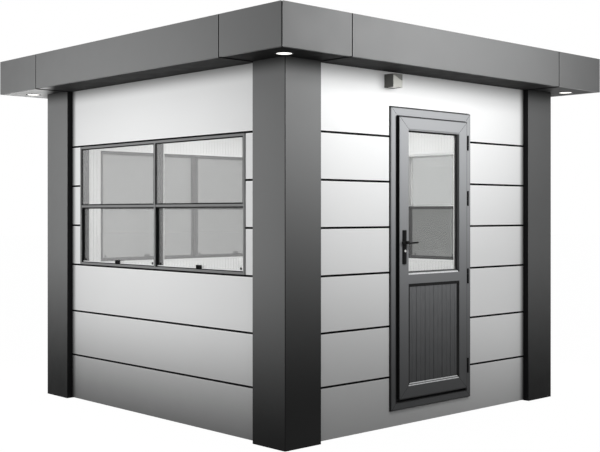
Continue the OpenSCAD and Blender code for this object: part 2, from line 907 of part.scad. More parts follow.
// Inside of the wall lamp between two heights
module lamp_well(z) {
    block([lamp_x - lamp_w / 2 + lamp_wall, lamp_x + lamp_w / 2 - lamp_wall],
          [clad_y - lamp_d + lamp_wall, clad_y - lamp_wall], z);
}

// Square wall lamp, open below
module wall_lamp() {
    color("#a5a59f")
        on_side("front")
            difference() {
                block([lamp_x - lamp_w / 2, lamp_x + lamp_w / 2], [clad_y - lamp_d, clad_y],
                      [lamp_z, lamp_z + lamp_h]);
                lamp_well([lamp_z - over, lamp_z + lamp_wall]);
            }
}

floor_deck();
corner_post(0, 0);  // front_left_post
corner_post(1, 0);  // front_right_post
corner_post(0, 1);  // back_left_post
corner_post(1, 1);  // back_right_post
front_wall_slab([-front_reach, frame_x0], [0, soffit_z]);  // front_wall_left
front_wall_slab([frame_x1, front_reach], [0, soffit_z]);  // front_wall_right
front_wall_slab([frame_x0, frame_x1], [frame_z1, soffit_z]);  // front_wall_header
front_wall_slab([frame_x0, frame_x1], [0, floor_z]);  // front_wall_sill
window_wall("left");  // left_wall
window_wall("back");  // back_wall
window_wall("right");  // right_wall
cladding("front");  // front_cladding
cladding("left");  // left_cladding
cladding("back");  // back_cladding
cladding("right");  // right_cladding
panel_joints();
window_frame("left");  // left_window_frame
window_frame("back");  // back_window_frame
window_frame("right");  // right_window_frame
window_sashes("left");  // left_window_sashes
window_sashes("back");  // back_window_sashes
window_sashes("right");  // right_window_sashes
window_glass("left");  // left_window_glass
window_glass("back");  // back_window_glass
window_glass("right");  // right_window_glass
window_latches();
window_trims();
door_frame();
frame_hinges();
door_leaf();
door_beads();
door_glass();
door_panel();
leaf_hinges();
handle_plates();
lock_cylinder();
door_lever();
fascia("front");  // front_fascia
fascia("left");  // left_fascia
fascia("back");  // back_fascia
fascia("right");  // right_fascia
soffit();
ceiling();
roof_deck();
downlight_rims();
lamp_lenses();
wall_lamp();
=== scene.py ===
import json
from functools import partialmethod, reduce
from itertools import product

import bmesh
import bpy
import numpy as np
from bpy.props import FloatProperty, FloatVectorProperty, PointerProperty
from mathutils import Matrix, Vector


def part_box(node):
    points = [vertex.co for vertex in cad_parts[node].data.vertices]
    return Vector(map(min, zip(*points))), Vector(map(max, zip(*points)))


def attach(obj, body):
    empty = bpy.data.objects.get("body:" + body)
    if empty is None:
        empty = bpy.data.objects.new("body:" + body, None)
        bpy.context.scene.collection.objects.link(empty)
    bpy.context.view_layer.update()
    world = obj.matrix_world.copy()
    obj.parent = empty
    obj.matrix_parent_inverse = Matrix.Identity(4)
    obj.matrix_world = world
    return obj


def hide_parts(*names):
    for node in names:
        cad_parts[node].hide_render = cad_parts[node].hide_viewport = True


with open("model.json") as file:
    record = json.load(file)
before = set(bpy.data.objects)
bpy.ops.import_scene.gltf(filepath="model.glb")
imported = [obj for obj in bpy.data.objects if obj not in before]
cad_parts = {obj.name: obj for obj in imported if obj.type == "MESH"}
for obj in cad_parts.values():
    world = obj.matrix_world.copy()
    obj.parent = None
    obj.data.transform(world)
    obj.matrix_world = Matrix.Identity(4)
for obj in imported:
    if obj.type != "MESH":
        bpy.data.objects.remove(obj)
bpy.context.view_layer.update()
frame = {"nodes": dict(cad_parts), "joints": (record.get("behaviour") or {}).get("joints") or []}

bl_info = {
    "name": "Guard Booth Looks",
    "version": (1, 0, 0),
    "blender": (4, 5, 0),
    "location": "View3D > Sidebar > Booth",
    "description": "Finishes, fittings and stage of a security guard booth",
    "category": "Object",
}

NODES = frame["nodes"]

# Distances of the corner posts' faces from the middle
HALF_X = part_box("front_right_post")[1].x
HALF_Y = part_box("back_left_post")[1].y
# Distance of the posts' inner edges, and of the joints in the roof's edge, from the middle
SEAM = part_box("front_right_post")[0].x
# Heights of the room's floor and ceiling, and depth of its walls behind the post faces
FLOOR_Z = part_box("floor_deck")[1].z
CEILING_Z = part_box("ceiling")[0].z
ROOM_DEPTH = HALF_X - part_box("floor_deck")[1].x

# For each side: cosine and sine of its turn from the front, and how far its post faces are from the middle
SIDES = {"front": (1, 0, HALF_Y), "right": (0, 1, HALF_X), "back": (-1, 0, HALF_Y), "left": (0, -1, HALF_X)}
WINDOW_SIDES = tuple(SIDES)[1:]


# Properties

def length(name, default, description):
    """A length in metres."""
    return FloatProperty(name=name, description=description, default=default, unit="LENGTH", precision=4)


def colour(name, default, description):
    """A linear colour."""
    return FloatVectorProperty(
        name=name, description=description, default=default, subtype="COLOR", size=3, min=0.0, max=1.0)


def brightness(name, default, description):
    """A level of light, where 1 is white."""
    return FloatProperty(name=name, description=description, default=default, min=0.0)


class BoothSizes(bpy.types.PropertyGroup):
    """Sizes of the fittings that are added to the booth"""
    board_pitch: length("Lining board", 0.0325, "Width of a board of the inner lining")
    board_groove: length("Lining groove", 0.0015, "Depth and half width of the V groove between boards")
    lining_t: length("Lining thickness", 0.006, "Thickness of the inner lining")
    window_face: length("Window frame face", 0.016, "Width of the face of a window frame")
    mullion_w: length("Mullion", 0.016, "Width of a window's mullion")
    rail_top: length("Meeting rail top", 1.5595, "Height of the upper edge of the meeting rails")
    trim_w: length("Inner trim", 0.016, "Width of the trim round a window inside")
    trim_t: length("Inner trim thickness", 0.008, "Thickness of that trim")
    inner_bead: length("Inner bead", 0.018, "Width of the seals inside the back and right windows")
    seal_w: length("Seal width", 0.009, "Width of the rubber seals round the panes")
    seal_h: length("Seal height", 0.007, "Height of the rubber seals above the panes")
    button_r: length("Button radius", 0.0095, "Radius of the fixing buttons of the lower panes")
    button_left: length("Left button", 0.019, "Distance of a button from the left edge of its pane")
    button_right: length("Right button", 0.057, "Distance of a button from the right edge of its pane")
    button_up: length("Button height", 0.0115, "Height of the buttons above the lower edge of their pane")
    bead_w: length("Door bead", 0.020, "Width of the glazing beads of the door")
    door_seal: length("Door seal", 0.002, "Width and height of the rubber seals in the door")
    rebate_seal: length("Rebate seal", 0.008, "Width of the rubber seal round the rebate of the door frame")
    mitre_w: length("Mitre line", 0.0022, "Width of the welded mitre lines of the door")
    cap_h: length("Hinge cap", 0.004, "Height of the caps on the hinge barrels")
    hinge_r: length("Hinge radius", 0.006, "Radius of the hinge barrels")
    lever_t: length("Lever thickness", 0.013, "Thickness of the door lever's grip")
    lever_dip: length("Lever dip", 0.006, "How far the grip dips below the spindle next to its elbow")
    boss_w: length("Lever boss", 0.082, "Width of the oval boss at the lever's root")
    strip_w: length("Joint strip", 0.0068, "Width of the strips in the fascia's joints")
    strip_back: length("Strip setback", 0.006, "Distance of the strips behind the fascia's face")
    strip_drop: length("Strip drop", 0.006, "Height of the strips under the soffit's joints")


class BoothColours(bpy.types.PropertyGroup):
    """Colours of the booth's finishes"""
    panel: colour("Wall panels", (0.84, 0.845, 0.845), "White coat of the cladding")
    # Painted highlight along the panels' shadow gaps
    panel_edge_highlight: colour("Panel edges", (0.98, 0.98, 0.98), "Bright folded edges of the cladding")
    lining: colour("Inner lining", (0.83, 0.83, 0.825), "White coat of the inner lining")
    anthracite: colour("Anthracite", (0.155, 0.157, 0.157), "Coat of posts, fascia and window frames")
    soffit: colour("Soffit", (0.023, 0.023, 0.023), "Dark coat under the roof")
    # Painted light on the soffit past slanting lines at two corners
    soffit_end_light: colour("Soffit end", (0.10, 0.10, 0.10), "Corner of the soffit at the front right")
    soffit_lit: colour("Lit soffit", (0.93, 0.93, 0.925), "Corner of the soffit at the back left")
    door: colour("Door", (0.405, 0.413, 0.425), "Foil of the door and its frame")
    black: colour("Black trim", (0.010, 0.010, 0.0105), "Seals, strips, sashes and fittings")
    clear_glass: colour("Clear glass", (0.93, 0.935, 0.93), "Tint of the door's glass")
    coated_glass: colour("Coated glass", (0.97, 0.973, 0.97), "Tint of the left window")
    # Painted shade: the darker tints of the back and right windows, darkest on the right window's lower panes
    grey_glass: colour("Grey glass", (0.30, 0.305, 0.30), "Tint of the back window")
    pale_glass: colour("Pale grey glass", (0.55, 0.56, 0.555), "Tint of the right window's upper panes")
    dark_glass: colour("Dark glass", (0.18, 0.185, 0.18), "Tint of the right window's lower panes")
    # Painted light on the right window's upper reveals
    reveal: colour("Window reveal", (0.80, 0.805, 0.80), "Upper reveals of the right window")
    # Painted highlight on the upward faces of the lower glazing beads
    bead_highlight: colour("Bead edge", (0.85, 0.86, 0.87), "Upper faces of the door's glazing beads")
    steel: colour("Steel", (0.72, 0.72, 0.71), "Brushed steel of the lock")
    lamp: colour("Lamp cover", (0.47, 0.47, 0.435), "Front cover of the wall lamp")
    lens: colour("Lens", (1.0, 0.985, 0.94), "Opal lenses of the lights")
    floor_sheet: colour("Floor sheet", (0.30, 0.31, 0.32), "Floor of the room")
    roof_sheet: colour("Roof sheet", (0.085, 0.087, 0.09), "Membrane on the roof")
    roof_dust: colour("Roof dust", (0.16, 0.16, 0.155), "Dust on the membrane")


class BoothStage(bpy.types.PropertyGroup):
    """Camera, floor and light of the picture"""
    camera_at: FloatVectorProperty(
        name="Camera", description="Place of the camera", default=(-5.9168, -6.3646, 1.4966),
        subtype="XYZ", unit="LENGTH")
    camera_along: FloatVectorProperty(
        name="View", description="Direction that the camera looks in", default=(0.68283, 0.73058, 0.0),
        subtype="DIRECTION")
    lens_mm: FloatProperty(
        name="Lens", description="Focal length at a sensor width of 36 mm", default=63.27, unit="CAMERA")
    shift_y: FloatProperty(name="Shift", description="Shift of the level camera's frame", default=-0.02125)
    floor: colour("Floor", (0.32, 0.32, 0.32), "Pale floor of the studio")
    fill: brightness("Fill", 0.45, "Brightness of the even light from all round")
    key_radiance: brightness("Key", 5.4, "Brightness of the soft boxes round the booth")
    room_radiance: brightness("Room", 3.55, "Brightness of the light under the ceiling")


# Places and meshes

def on_side(side, points):
    """World points for points (u, depth, z) of a side: u to the right seen from outside, depth inwards."""
    cos, sin, face = SIDES[side]
    u, depth, z = np.moveaxis(np.asarray(points, float), -1, 0)
    inward = depth - face
    return np.stack([u * cos - inward * sin, u * sin + inward * cos, z], -1)


def node_points(node):
    """World points of a CAD node's mesh."""
    mesh = NODES[node].data
    places = np.empty(len(mesh.vertices) * 3)
    mesh.vertices.foreach_get("co", places)
    return places.reshape(-1, 3)


def node_levels(node):
    """Heights at which a CAD node has points."""
    return np.unique(node_points(node)[:, 2].round(4))


def side_places(node, side):
    """Points (u, depth, z) of a side for the points of a node: the reverse of on_side."""
    cos, sin, face = SIDES[side]
    x, y, z = node_points(node).T
    return np.stack([x * cos + y * sin, y * cos - x * sin + face, z], -1)


def window_half(side):
    """Half the width of a window's frame."""
    low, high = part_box(f"{side}_window_frame")
    return max(high.x - low.x, high.y - low.y) / 2


def window_panes(side):
    """Points (u, depth, z) of a window's two upper panes and of its two lower ones, the right pane first."""
    places = side_places(f"{side}_window_glass", side)
    bays = []
    for sign in (1, -1):
        bay = places[places[:, 0] * sign > 0]
        middle = (bay[:, 1].min() + bay[:, 1].max()) / 2
        bays.append((bay[bay[:, 1] < middle], bay[bay[:, 1] > middle]))
    return list(zip(*bays))


def joint_axis(name):
    """A point on the axis of a joint."""
    return next(joint for joint in frame["joints"] if joint["name"] == name)["pos_m"]


def grid_faces(rows, columns, wrap_rows=False, wrap_columns=False):
    """Four-sided faces of a grid of points, joined round either way where it wraps."""
    i, j = np.meshgrid(
        np.arange(rows if wrap_rows else rows - 1),
        np.arange(columns if wrap_columns else columns - 1), indexing="ij")
    k, l = (i + 1) % rows, (j + 1) % columns
    return np.stack([i * columns + j, k * columns + j, k * columns + l, i * columns + l], -1).reshape(-1, 4)


def join(parts):
    """One array of points and one of faces from several of each."""
    starts = np.cumsum([0] + [len(points) for points, faces in parts])
    return (
        np.concatenate([points for points, faces in parts]),
        np.concatenate([faces + start for (points, faces), start in zip(parts, starts)]))


def add_piece(name, part, body, material, smooth=False):
    """Makes a piece from arrays of points and faces: poles closed, faces outwards, riding on its body."""
    points, faces = part
    mesh = bpy.data.meshes.new(name)
    mesh.from_pydata(points.tolist(), [], faces.tolist())
    work = bmesh.new()
    work.from_mesh(mesh)
    bmesh.ops.remove_doubles(work, verts=work.verts, dist=1e-6)
    bmesh.ops.recalc_face_normals(work, faces=work.faces)
    work.to_mesh(mesh)
    work.free()
    mesh.validate()
    mesh.polygons.foreach_set("use_smooth", np.full(len(mesh.polygons), smooth))
    mesh.materials.append(material)
    piece = bpy.data.objects.new(name, mesh)
    bpy.context.scene.collection.objects.link(piece)
    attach(piece, body)
    return piece


def rounded_block(centre, half, power=0.25, rows=12, columns=24):
    """Superellipsoid: each axis is a half size times signed powers of the sines and cosines of two angles."""
    def bent(wave):
        return np.sign(wave) * np.abs(wave) ** power
    up, round_ = np.meshgrid(
        np.linspace(-np.pi / 2, np.pi / 2, rows + 1), np.arange(columns) * 2 * np.pi / columns, indexing="ij")
    ring = bent(np.cos(up))
    points = np.stack([ring * bent(np.cos(round_)), ring * bent(np.sin(round_)), bent(np.sin(up))], -1)
    points = np.asarray(centre) + points * np.asarray(half)
    return points.reshape(-1, 3), grid_faces(rows + 1, columns, wrap_columns=True)


def turned_block(side, centre, half, power=0.25):
    """A rounded block in the place of a side."""
    points, faces = rounded_block(centre, half, power)
    return on_side(side, points), faces


def seal_ring(side, u, z, depth, width, height, steps=8):
    """Half-round profile carried round a rectangle: width inwards from its edge, height out from the pane.

    Profile: out = -width/2 + width/2 cos t and rise = height sin t, for t from 0 to half a turn."""
    t = np.linspace(0, np.pi, steps + 1)
    out = width / 2 * (np.cos(t) - 1)
    rise = height * np.sin(t)
    corners = np.array([(-1, -1), (1, -1), (1, 1), (-1, 1)], float)
    middle = np.array([u[0] + u[1], z[0] + z[1]]) / 2
    half = np.array([u[1] - u[0], z[1] - z[0]]) / 2
    flat = middle + corners[:, None, :] * (half + out[None, :, None])
    points = np.stack([flat[..., 0], np.broadcast_to(depth - rise, flat.shape[:2]), flat[..., 1]], -1)
    return on_side(side, points).reshape(-1, 3), grid_faces(4, steps + 1, True, True)


def grooved_sheet(side, u, z, pitch, groove, thickness):
    """Upright boards: a sheet before the wall whose face dips by a V of the groove's depth at each pitch."""
    first, last = np.ceil((u[0] + 2 * groove) / pitch), np.floor((u[1] - 2 * groove) / pitch)
    middles = np.arange(first, last + 1) * pitch
    across = np.concatenate([[u[0]], (middles[:, None] + groove * np.array([-1, 0, 1])).ravel(), [u[1]]])
    dip = np.concatenate([[0], np.tile([0, groove, 0], len(middles)), [0]])
    front = ROOM_DEPTH + thickness - dip
    back = np.full_like(front, ROOM_DEPTH)
    loop_u = np.concatenate([across, across[::-1]])
    loop_y = np.concatenate([front, back])
    points = np.stack([np.stack([loop_u, loop_y, np.full_like(loop_u, height)], -1) for height in z])
    count = len(across)
    i = np.arange(count - 1)
    cap = np.stack([i, i + 1, 2 * count - 2 - i, 2 * count - 1 - i], -1)
    faces = np.concatenate([grid_faces(2, 2 * count, wrap_columns=True), cap, cap + 2 * count])
    return on_side(side, points).reshape(-1, 3), faces


def flat_bar(side, start, end, depth, width, height):
    """Low ridge carried along a straight line on a face: (u, z) from start to end.

    The section is a trapezium: the base is the width, the top a third of it at the height."""
    start, end = np.asarray(start, float), np.asarray(end, float)
    across = np.array([start[1] - end[1], end[0] - start[0]])
    across = across / np.linalg.norm(across) * width / 2
    flat = np.stack([start, end])[:, None, :] + np.array([-1, -1 / 3, 1 / 3, 1])[None, :, None] * across
    rise = np.broadcast_to(depth - height * np.array([0, 1, 1, 0]), (2, 4))
    points = np.stack([flat[..., 0], rise, flat[..., 1]], -1)
    caps = np.array([[0, 1, 2, 3], [4, 5, 6, 7]])
    return on_side(side, points).reshape(-1, 3), np.concatenate([grid_faces(2, 4, wrap_columns=True), caps])


def swept_lever(start, side, reach, grip, neck_r, thick, dip, rows=40, columns=20):
    """Rounded section carried along a neck out from the plate, round an elbow and along the grip to its tip.

    The path is a line, a quarter circle and a line in a level plane. The section is an ellipse whose half
    sizes go from the neck's radius to the grip's half thickness, and to nothing over the last part of the
    path. The grip sinks by the dip at the elbow and rises evenly to its tip."""
    elbow = 1.2 * thick
    parts = np.array([reach - elbow, elbow * np.pi / 2, grip - elbow])
    whole = parts.sum()
    s = whole * (1 - (1 - np.linspace(0, 1, rows)) ** 1.3)
    slim = np.clip((s - parts[0]) / parts[1], 0, 1)
    turn = slim * np.pi / 2
    out = np.minimum(s, parts[0]) + elbow * np.sin(turn)
    along = elbow * (1 - np.cos(turn)) + np.clip(s - parts[0] - parts[1], 0, None)
    tip = np.sqrt(np.clip(1 - (np.clip(s - whole + thick, 0, None) / thick) ** 2, 0, 1))
    tip[0] = 0.0
    half_across = (neck_r + (0.5 * thick - neck_r) * slim) * tip
    half_high = (neck_r + (0.52 * thick - neck_r) * slim) * tip
    sink = dip * slim * (1 - along / grip)
    angle = np.arange(columns) * 2 * np.pi / columns
    across = half_across[:, None] * np.cos(angle)
    points = np.stack([
        start[0] + along[:, None] - across * np.sin(np.pi / 2 - turn)[:, None],
        start[1] + side * (out[:, None] + across * np.sin(turn)[:, None]),
        start[2] - sink[:, None] + half_high[:, None] * np.sin(angle)], -1)
    # The first ring is a point on the plate, and a copy of the second one round it closes the root
    to_plate = (points[0, 0] - points[1].mean(0)) * [0, 1, 0]
    points = np.concatenate([points[:1], points[1:2] + to_plate, points[1:]])
    return points.reshape(-1, 3), grid_faces(rows + 1, columns, wrap_columns=True)


# Shader nodes

class Graph:
    """Short ways to add nodes to one shader tree"""

    def __init__(self, tree):
        self.tree = tree

    def feed(self, node, inputs):
        """Sets or links the inputs of a node."""
        for key, value in inputs.items():
            if isinstance(value, bpy.types.NodeSocket):
                self.tree.links.new(value, node.inputs[key])
            else:
                node.inputs[key].default_value = value

    def add(self, kind, inputs=None, **settings):
        """A node with its settings and with plain or linked inputs."""
        made = self.tree.nodes.new(kind)
        for key, value in settings.items():
            setattr(made, key, value)
        self.feed(made, inputs or {})
        return made

    def math(self, operation, *values):
        """Result of a Math node."""
        return self.add("ShaderNodeMath", dict(enumerate(values)), operation=operation).outputs[0]

    # Whether a value is over or under a limit, the smaller and the larger of two values, their product
    # and their difference, and a value without its sign
    over = partialmethod(math, "GREATER_THAN")
    under = partialmethod(math, "LESS_THAN")
    least = partialmethod(math, "MINIMUM")
    most = partialmethod(math, "MAXIMUM")
    times = partialmethod(math, "MULTIPLY")
    less = partialmethod(math, "SUBTRACT")
    size = partialmethod(math, "ABSOLUTE")

    def remap(self, value, low, high, to_low=0.0, to_high=1.0):
        """Value taken smoothly from one range to another."""
        inputs = {"Value": value, "From Min": low, "From Max": high, "To Min": to_low, "To Max": to_high}
        return self.add("ShaderNodeMapRange", inputs, interpolation_type="SMOOTHSTEP").outputs["Result"]

    def mix(self, factor, first, second, blend="MIX"):
        """Colour between two colours."""
        return self.add(
            "ShaderNodeMix", {0: factor, 6: first, 7: second}, data_type="RGBA", blend_type=blend).outputs[2]

    def shade(self, tone, level):
        """Colour times a level."""
        grey = self.add("ShaderNodeCombineColor", {"Red": level, "Green": level, "Blue": level}).outputs[0]
        return self.mix(1.0, tone, grey, "MULTIPLY")

    def place(self):
        """Object coordinates, whole and split into x, y and z."""
        at = self.add("ShaderNodeTexCoord").outputs["Object"]
        split = self.add("ShaderNodeSeparateXYZ", {0: at})
        return at, split.outputs["X"], split.outputs["Y"], split.outputs["Z"]

    def normal(self):
        """Parts of the face's normal along x, y and z."""
        split = self.add("ShaderNodeSeparateXYZ", {0: self.add("ShaderNodeNewGeometry").outputs["Normal"]})
        return split.outputs["X"], split.outputs["Y"], split.outputs["Z"]

    def sideways(self):
        """1 on faces that look along x, either way."""
        return self.over(self.size(self.normal()[0]), 0.5)

    def noise(self, at, scale, detail=2.0, stretch=None):
        """Noise from 0 to 1 at a scale per metre, stretched along the axes where given."""
        if stretch:
            at = self.add("ShaderNodeMapping", {"Vector": at, "Scale": stretch}).outputs[0]
        return self.add("ShaderNodeTexNoise", {"Vector": at, "Scale": scale, "Detail": detail}).outputs["Fac"]

    def placed(self, name, inputs):
        """Outputs of a node group, which is built the first time that it is asked for."""
        tree = bpy.data.node_groups.get(name) or GROUPS[name](name)
        return self.add("ShaderNodeGroup", inputs, node_tree=tree).outputs

    def ground_shade(self, tone, foot, top, shade):
        """Colour that is whole at a top height and a share of itself at a foot height, over or under it."""
        inputs = {"Colour": tone, "Foot": foot, "Top": top, "Foot Shade": shade}
        return self.placed("Ground Shade", inputs)["Colour"]

    def face_mask(self, depth):
        """1 down to a depth behind the post faces."""
        return self.placed("Face Depth", {"Depth": depth})["Mask"]

    def dust_and_highlight(self, tone, top_tone, amount):
        """Colour with a second tone on the faces that look upwards: a dusting on the roof, a painted highlight
        on the door's beads.
        """
        return self.placed("Dust And Highlight", {"Colour": tone, "Dust And Highlight Colour": top_tone, "Amount": amount})["Colour"]


def rgba(tone, level=1.0):
    """Opaque colour for a socket, at a share of its level."""
    return (*(level * part for part in tone), 1.0)


def new_group(name, inputs, outputs):
    """Empty shader group whose sockets are numbers or colours as their defaults are.

    Gives its graph, the inputs to read and the node to feed."""
    tree = bpy.data.node_groups.new(name, "ShaderNodeTree")
    for in_out, sockets in (("INPUT", inputs), ("OUTPUT", outputs)):
        for label, default in sockets.items():
            kind = "NodeSocketFloat" if isinstance(default, float) else "NodeSocketColor"
            tree.interface.new_socket(label, in_out=in_out, socket_type=kind).default_value = default
    graph = Graph(tree)
    return graph, graph.add("NodeGroupInput").outputs, graph.add("NodeGroupOutput")


GREY = (0.5, 0.5, 0.5, 1.0)


def build_coat_grain(name):
    """Fine orange peel of a sprayed coat, with a soft mottle in its colour."""
    graph, given, result = new_group(
        name, {"Colour": GREY, "Peel Scale": 350.0, "Mottle": 0.06},
        {"Colour": GREY, "Height": 0.0, "Gloss": 0.0})
    at = graph.place()[0]
    soft = graph.less(graph.noise(at, 2.2, 4.0), 0.5)
    level = graph.math("MULTIPLY_ADD", soft, given["Mottle"], 1.0)
    graph.feed(result, {
        "Colour": graph.shade(given["Colour"], level),
        "Height": graph.noise(at, given["Peel Scale"], 3.0),
        "Gloss": graph.remap(graph.noise(at, 9.0, 3.0), 0.3, 0.7, -0.05, 0.05)})
    return graph.tree


def build_ground_shade(name):
    """Colour that darkens smoothly from a top height down to the foot."""
    graph, given, result = new_group(
        name, {"Colour": GREY, "Foot": 0.0, "Top": 2.0, "Foot Shade": 0.5}, {"Colour": GREY})
    level = graph.remap(graph.place()[3], given["Foot"], given["Top"], given["Foot Shade"], 1.0)
    graph.feed(result, {"Colour": graph.shade(given["Colour"], level)})
    return graph.tree


def build_face_depth(name):
    """Mask that is 1 on the outermost faces and 0 further in than a depth behind the post faces."""
    graph, given, result = new_group(name, {"Depth": 0.002}, {"Mask": 0.0})
    at, x, y, z = graph.place()
    depth = graph.less(HALF_X, graph.most(graph.size(x), graph.size(y)))
    graph.feed(result, {"Mask": graph.under(depth, given["Depth"])})
    return graph.tree


def build_dust_and_highlight(name):
    """A second tone on faces that look upwards, broken by a fine noise: a dusting on the roof, a painted
    highlight on the door's beads.
    """
    graph, given, result = new_group(
        name, {"Colour": GREY, "Dust And Highlight Colour": GREY, "Amount": 0.5}, {"Colour": GREY})
    grains = graph.remap(graph.noise(graph.place()[0], 60.0, 4.0), 0.2, 0.6, 0.7, 1.0)
    upward = graph.remap(graph.normal()[2], 0.03, 0.10)
    upward_share = graph.times(upward, graph.times(grains, given["Amount"]))
    graph.feed(result, {"Colour": graph.mix(upward_share, given["Colour"], given["Dust And Highlight Colour"])})
    return graph.tree


GROUPS = {
    "Coat Grain": build_coat_grain, "Ground Shade": build_ground_shade,
    "Face Depth": build_face_depth, "Dust And Highlight": build_dust_and_highlight}


# Materials

class Finish(Graph):
    """Graph of a new material with a bare Principled shader"""

    def __init__(self, name):
        self.made = bpy.data.materials.new(name)
        self.made.use_nodes = True
        super().__init__(self.made.node_tree)
        self.tree.nodes.clear()
        self.shader = self.add("ShaderNodeBsdfPrincipled")
        self.out = self.add("ShaderNodeOutputMaterial", {"Surface": self.shader.outputs[0]})

    def plain(self, inputs):
        """The material, with inputs of its shader set or linked."""
        self.feed(self.shader, inputs)
        return self.made

    def coat(self, tone, roughness, specular, peel=350.0, mottle=0.06, bump=0.05):
        """The material, with a coated colour, slight changes of gloss and a fine grain."""
        grain = self.placed("Coat Grain", {"Colour": tone, "Peel Scale": peel, "Mottle": mottle})
        rough = self.add("ShaderNodeBump", {"Height": grain["Height"], "Strength": bump, "Distance": 0.0005})
        return self.plain({
            "Base Color": grain["Colour"], "Roughness": self.math("ADD", grain["Gloss"], roughness),
            "Normal": rough.outputs[0], "Specular IOR Level": specular})

    def mixed(self, factor, second):
        """The material, with its shader mixed with a second one."""
        both = self.add("ShaderNodeMixShader", {0: factor, 1: self.shader.outputs[0], 2: second.outputs[0]})
        self.feed(self.out, {"Surface": both.outputs[0]})
        return self.made


def shared(build, colours, name):
    """The named material, built the first time that it is asked for."""
    return bpy.data.materials.get(name) or build(colours, name)


def seam_heights():
    """Middle heights of the shadow gaps, read from the levels of the cladding's own edges."""
    levels = node_levels("left_cladding")
    gap = np.diff(levels)
    wide = (gap > 0.004) & (gap < 0.03)
    return (levels[:-1] + gap / 2)[wide]


def seam_distance(graph):
    """Distance from the joints between the corner boards and the long boards of the roof's edge."""
    at, x, y, z = graph.place()
    return graph.least(*(graph.size(graph.less(graph.size(part), SEAM)) for part in (x, y)))


def panel_material(colours, name, level, foot, tops, foot_shade, eave_shade):
    """White coated panels: painted highlights along dark gaps, painted shade at the foot, the far end and the
    eaves.

    The shade at the foot reaches up to two heights, at the near and at the far end of the wall."""
    graph = Finish(name)
    at, x, y, z = graph.place()
    # Black in the joints and, as painted shade, a little past them on the panel edges; a painted highlight
    # beside that
    gap_half, highlight_start, highlight_end, highlight_level = 0.0072, 0.0095, 0.0175, 0.8
    shade_start, shade_stop, half_run = SEAM - 0.065, SEAM + 0.005, 0.9
    away = reduce(graph.least, [graph.size(graph.less(z, float(height))) for height in seam_heights()])
    edge_highlight = graph.remap(away, highlight_start, highlight_end, highlight_level, 0.0)
    white = graph.mix(edge_highlight, rgba(colours.panel, level), rgba(colours.panel_edge_highlight))
    along = graph.math("MULTIPLY_ADD", graph.sideways(), graph.less(y, x), x)
    # Painted shade towards the far end of the wall, next to the post
    far_end_shade = graph.remap(along, shade_start, shade_stop, 1.0, 0.1)
    tone = graph.mix(graph.under(away, gap_half), graph.shade(white, far_end_shade), rgba(colours.black))
    # Painted shade at the foot, reaching higher at one end of the wall, and under the eaves
    low = graph.ground_shade(tone, foot, graph.remap(along, -half_run, half_run, *tops), foot_shade)
    high = graph.ground_shade(low, foot=CEILING_Z + 0.017, top=CEILING_Z - 0.123, shade=eave_shade)
    return graph.coat(high, roughness=0.5, specular=0.2, mottle=0.03)


def lining_material(colours, name):
    """Matt white lining with painted shade in its grooves, low on the right wall and high on the other walls.
    """
    graph = Finish(name)
    at, x, y, z = graph.place()
    out_x, out_y, out_z = graph.normal()
    white = rgba(colours.lining)
    # Painted shade on the grooves' slanting faces, deeper lower down
    slant = graph.remap(graph.size(graph.times(out_x, out_y)), 0.05, 0.2)
    groove = graph.shade(white, graph.remap(z, 0.9, 2.2, 0.62, 0.78))
    tone = graph.mix(slant, white, groove)
    low = graph.ground_shade(tone, foot=FLOOR_Z, top=1.5, shade=0.5)
    high = graph.ground_shade(tone, foot=CEILING_Z, top=1.7, shade=0.75)
    right = graph.over(x, HALF_X - ROOM_DEPTH - 0.02)
    return graph.coat(graph.mix(right, high, low), roughness=0.6, specular=0.2, mottle=0.03)


def post_material(colours):
    """Anthracite casings with painted light on their faces and painted shade towards the ground and the eaves,
    with black arrises and returns.
    """
    graph = Finish("post_coat")
    at, x, y, z = graph.place()
    sideways = graph.sideways()
    # Lit copies of the coat as painted light: front faces of the left-hand posts at 1.48, flanks at 1.33,
    # other front faces at 0.88, each with painted shade towards the ground
    near = graph.ground_shade(rgba(colours.anthracite, 1.48), foot=0.2, top=2.1, shade=0.08)
    even = graph.mix(sideways, rgba(colours.anthracite, 0.88), rgba(colours.anthracite, 1.33))
    flank = graph.ground_shade(even, foot=-0.05, top=1.3, shade=0.05)
    sheet = graph.mix(graph.most(graph.over(x, 0.0), sideways), near, flank)
    # Painted shade under the eaves
    sheet = graph.ground_shade(sheet, foot=CEILING_Z + 0.02, top=CEILING_Z - 0.115, shade=0.15)
    arris_w, return_depth = 0.0035, 0.004
    arris = graph.over(graph.least(graph.size(x), graph.size(y)), HALF_X - arris_w)
    face = graph.less(graph.face_mask(return_depth), arris)
    return graph.coat(graph.mix(face, rgba(colours.black), sheet), roughness=0.45, specular=0.05)


def fascia_material(colours):
    """Anthracite folded sheet of the fascia: flanks painted lighter, black in its joints, painted shade just
    beside them and a painted highlight next to that.
    """
    graph = Finish("fascia_coat")
    joint_half, edge_end = 0.0055, 0.0115
    away = seam_distance(graph)
    # Painted light on the flanks, a painted highlight beside the joints, and painted shade widening their
    # black
    sheet = graph.mix(graph.sideways(), rgba(colours.anthracite), rgba(colours.anthracite, 1.14))
    sheet = graph.mix(graph.remap(away, joint_half, edge_end, 0.12, 0.0), sheet, rgba(colours.panel))
    tone = graph.mix(graph.under(away, joint_half), sheet, rgba(colours.black))
    return graph.coat(tone, roughness=0.42, specular=0.15)


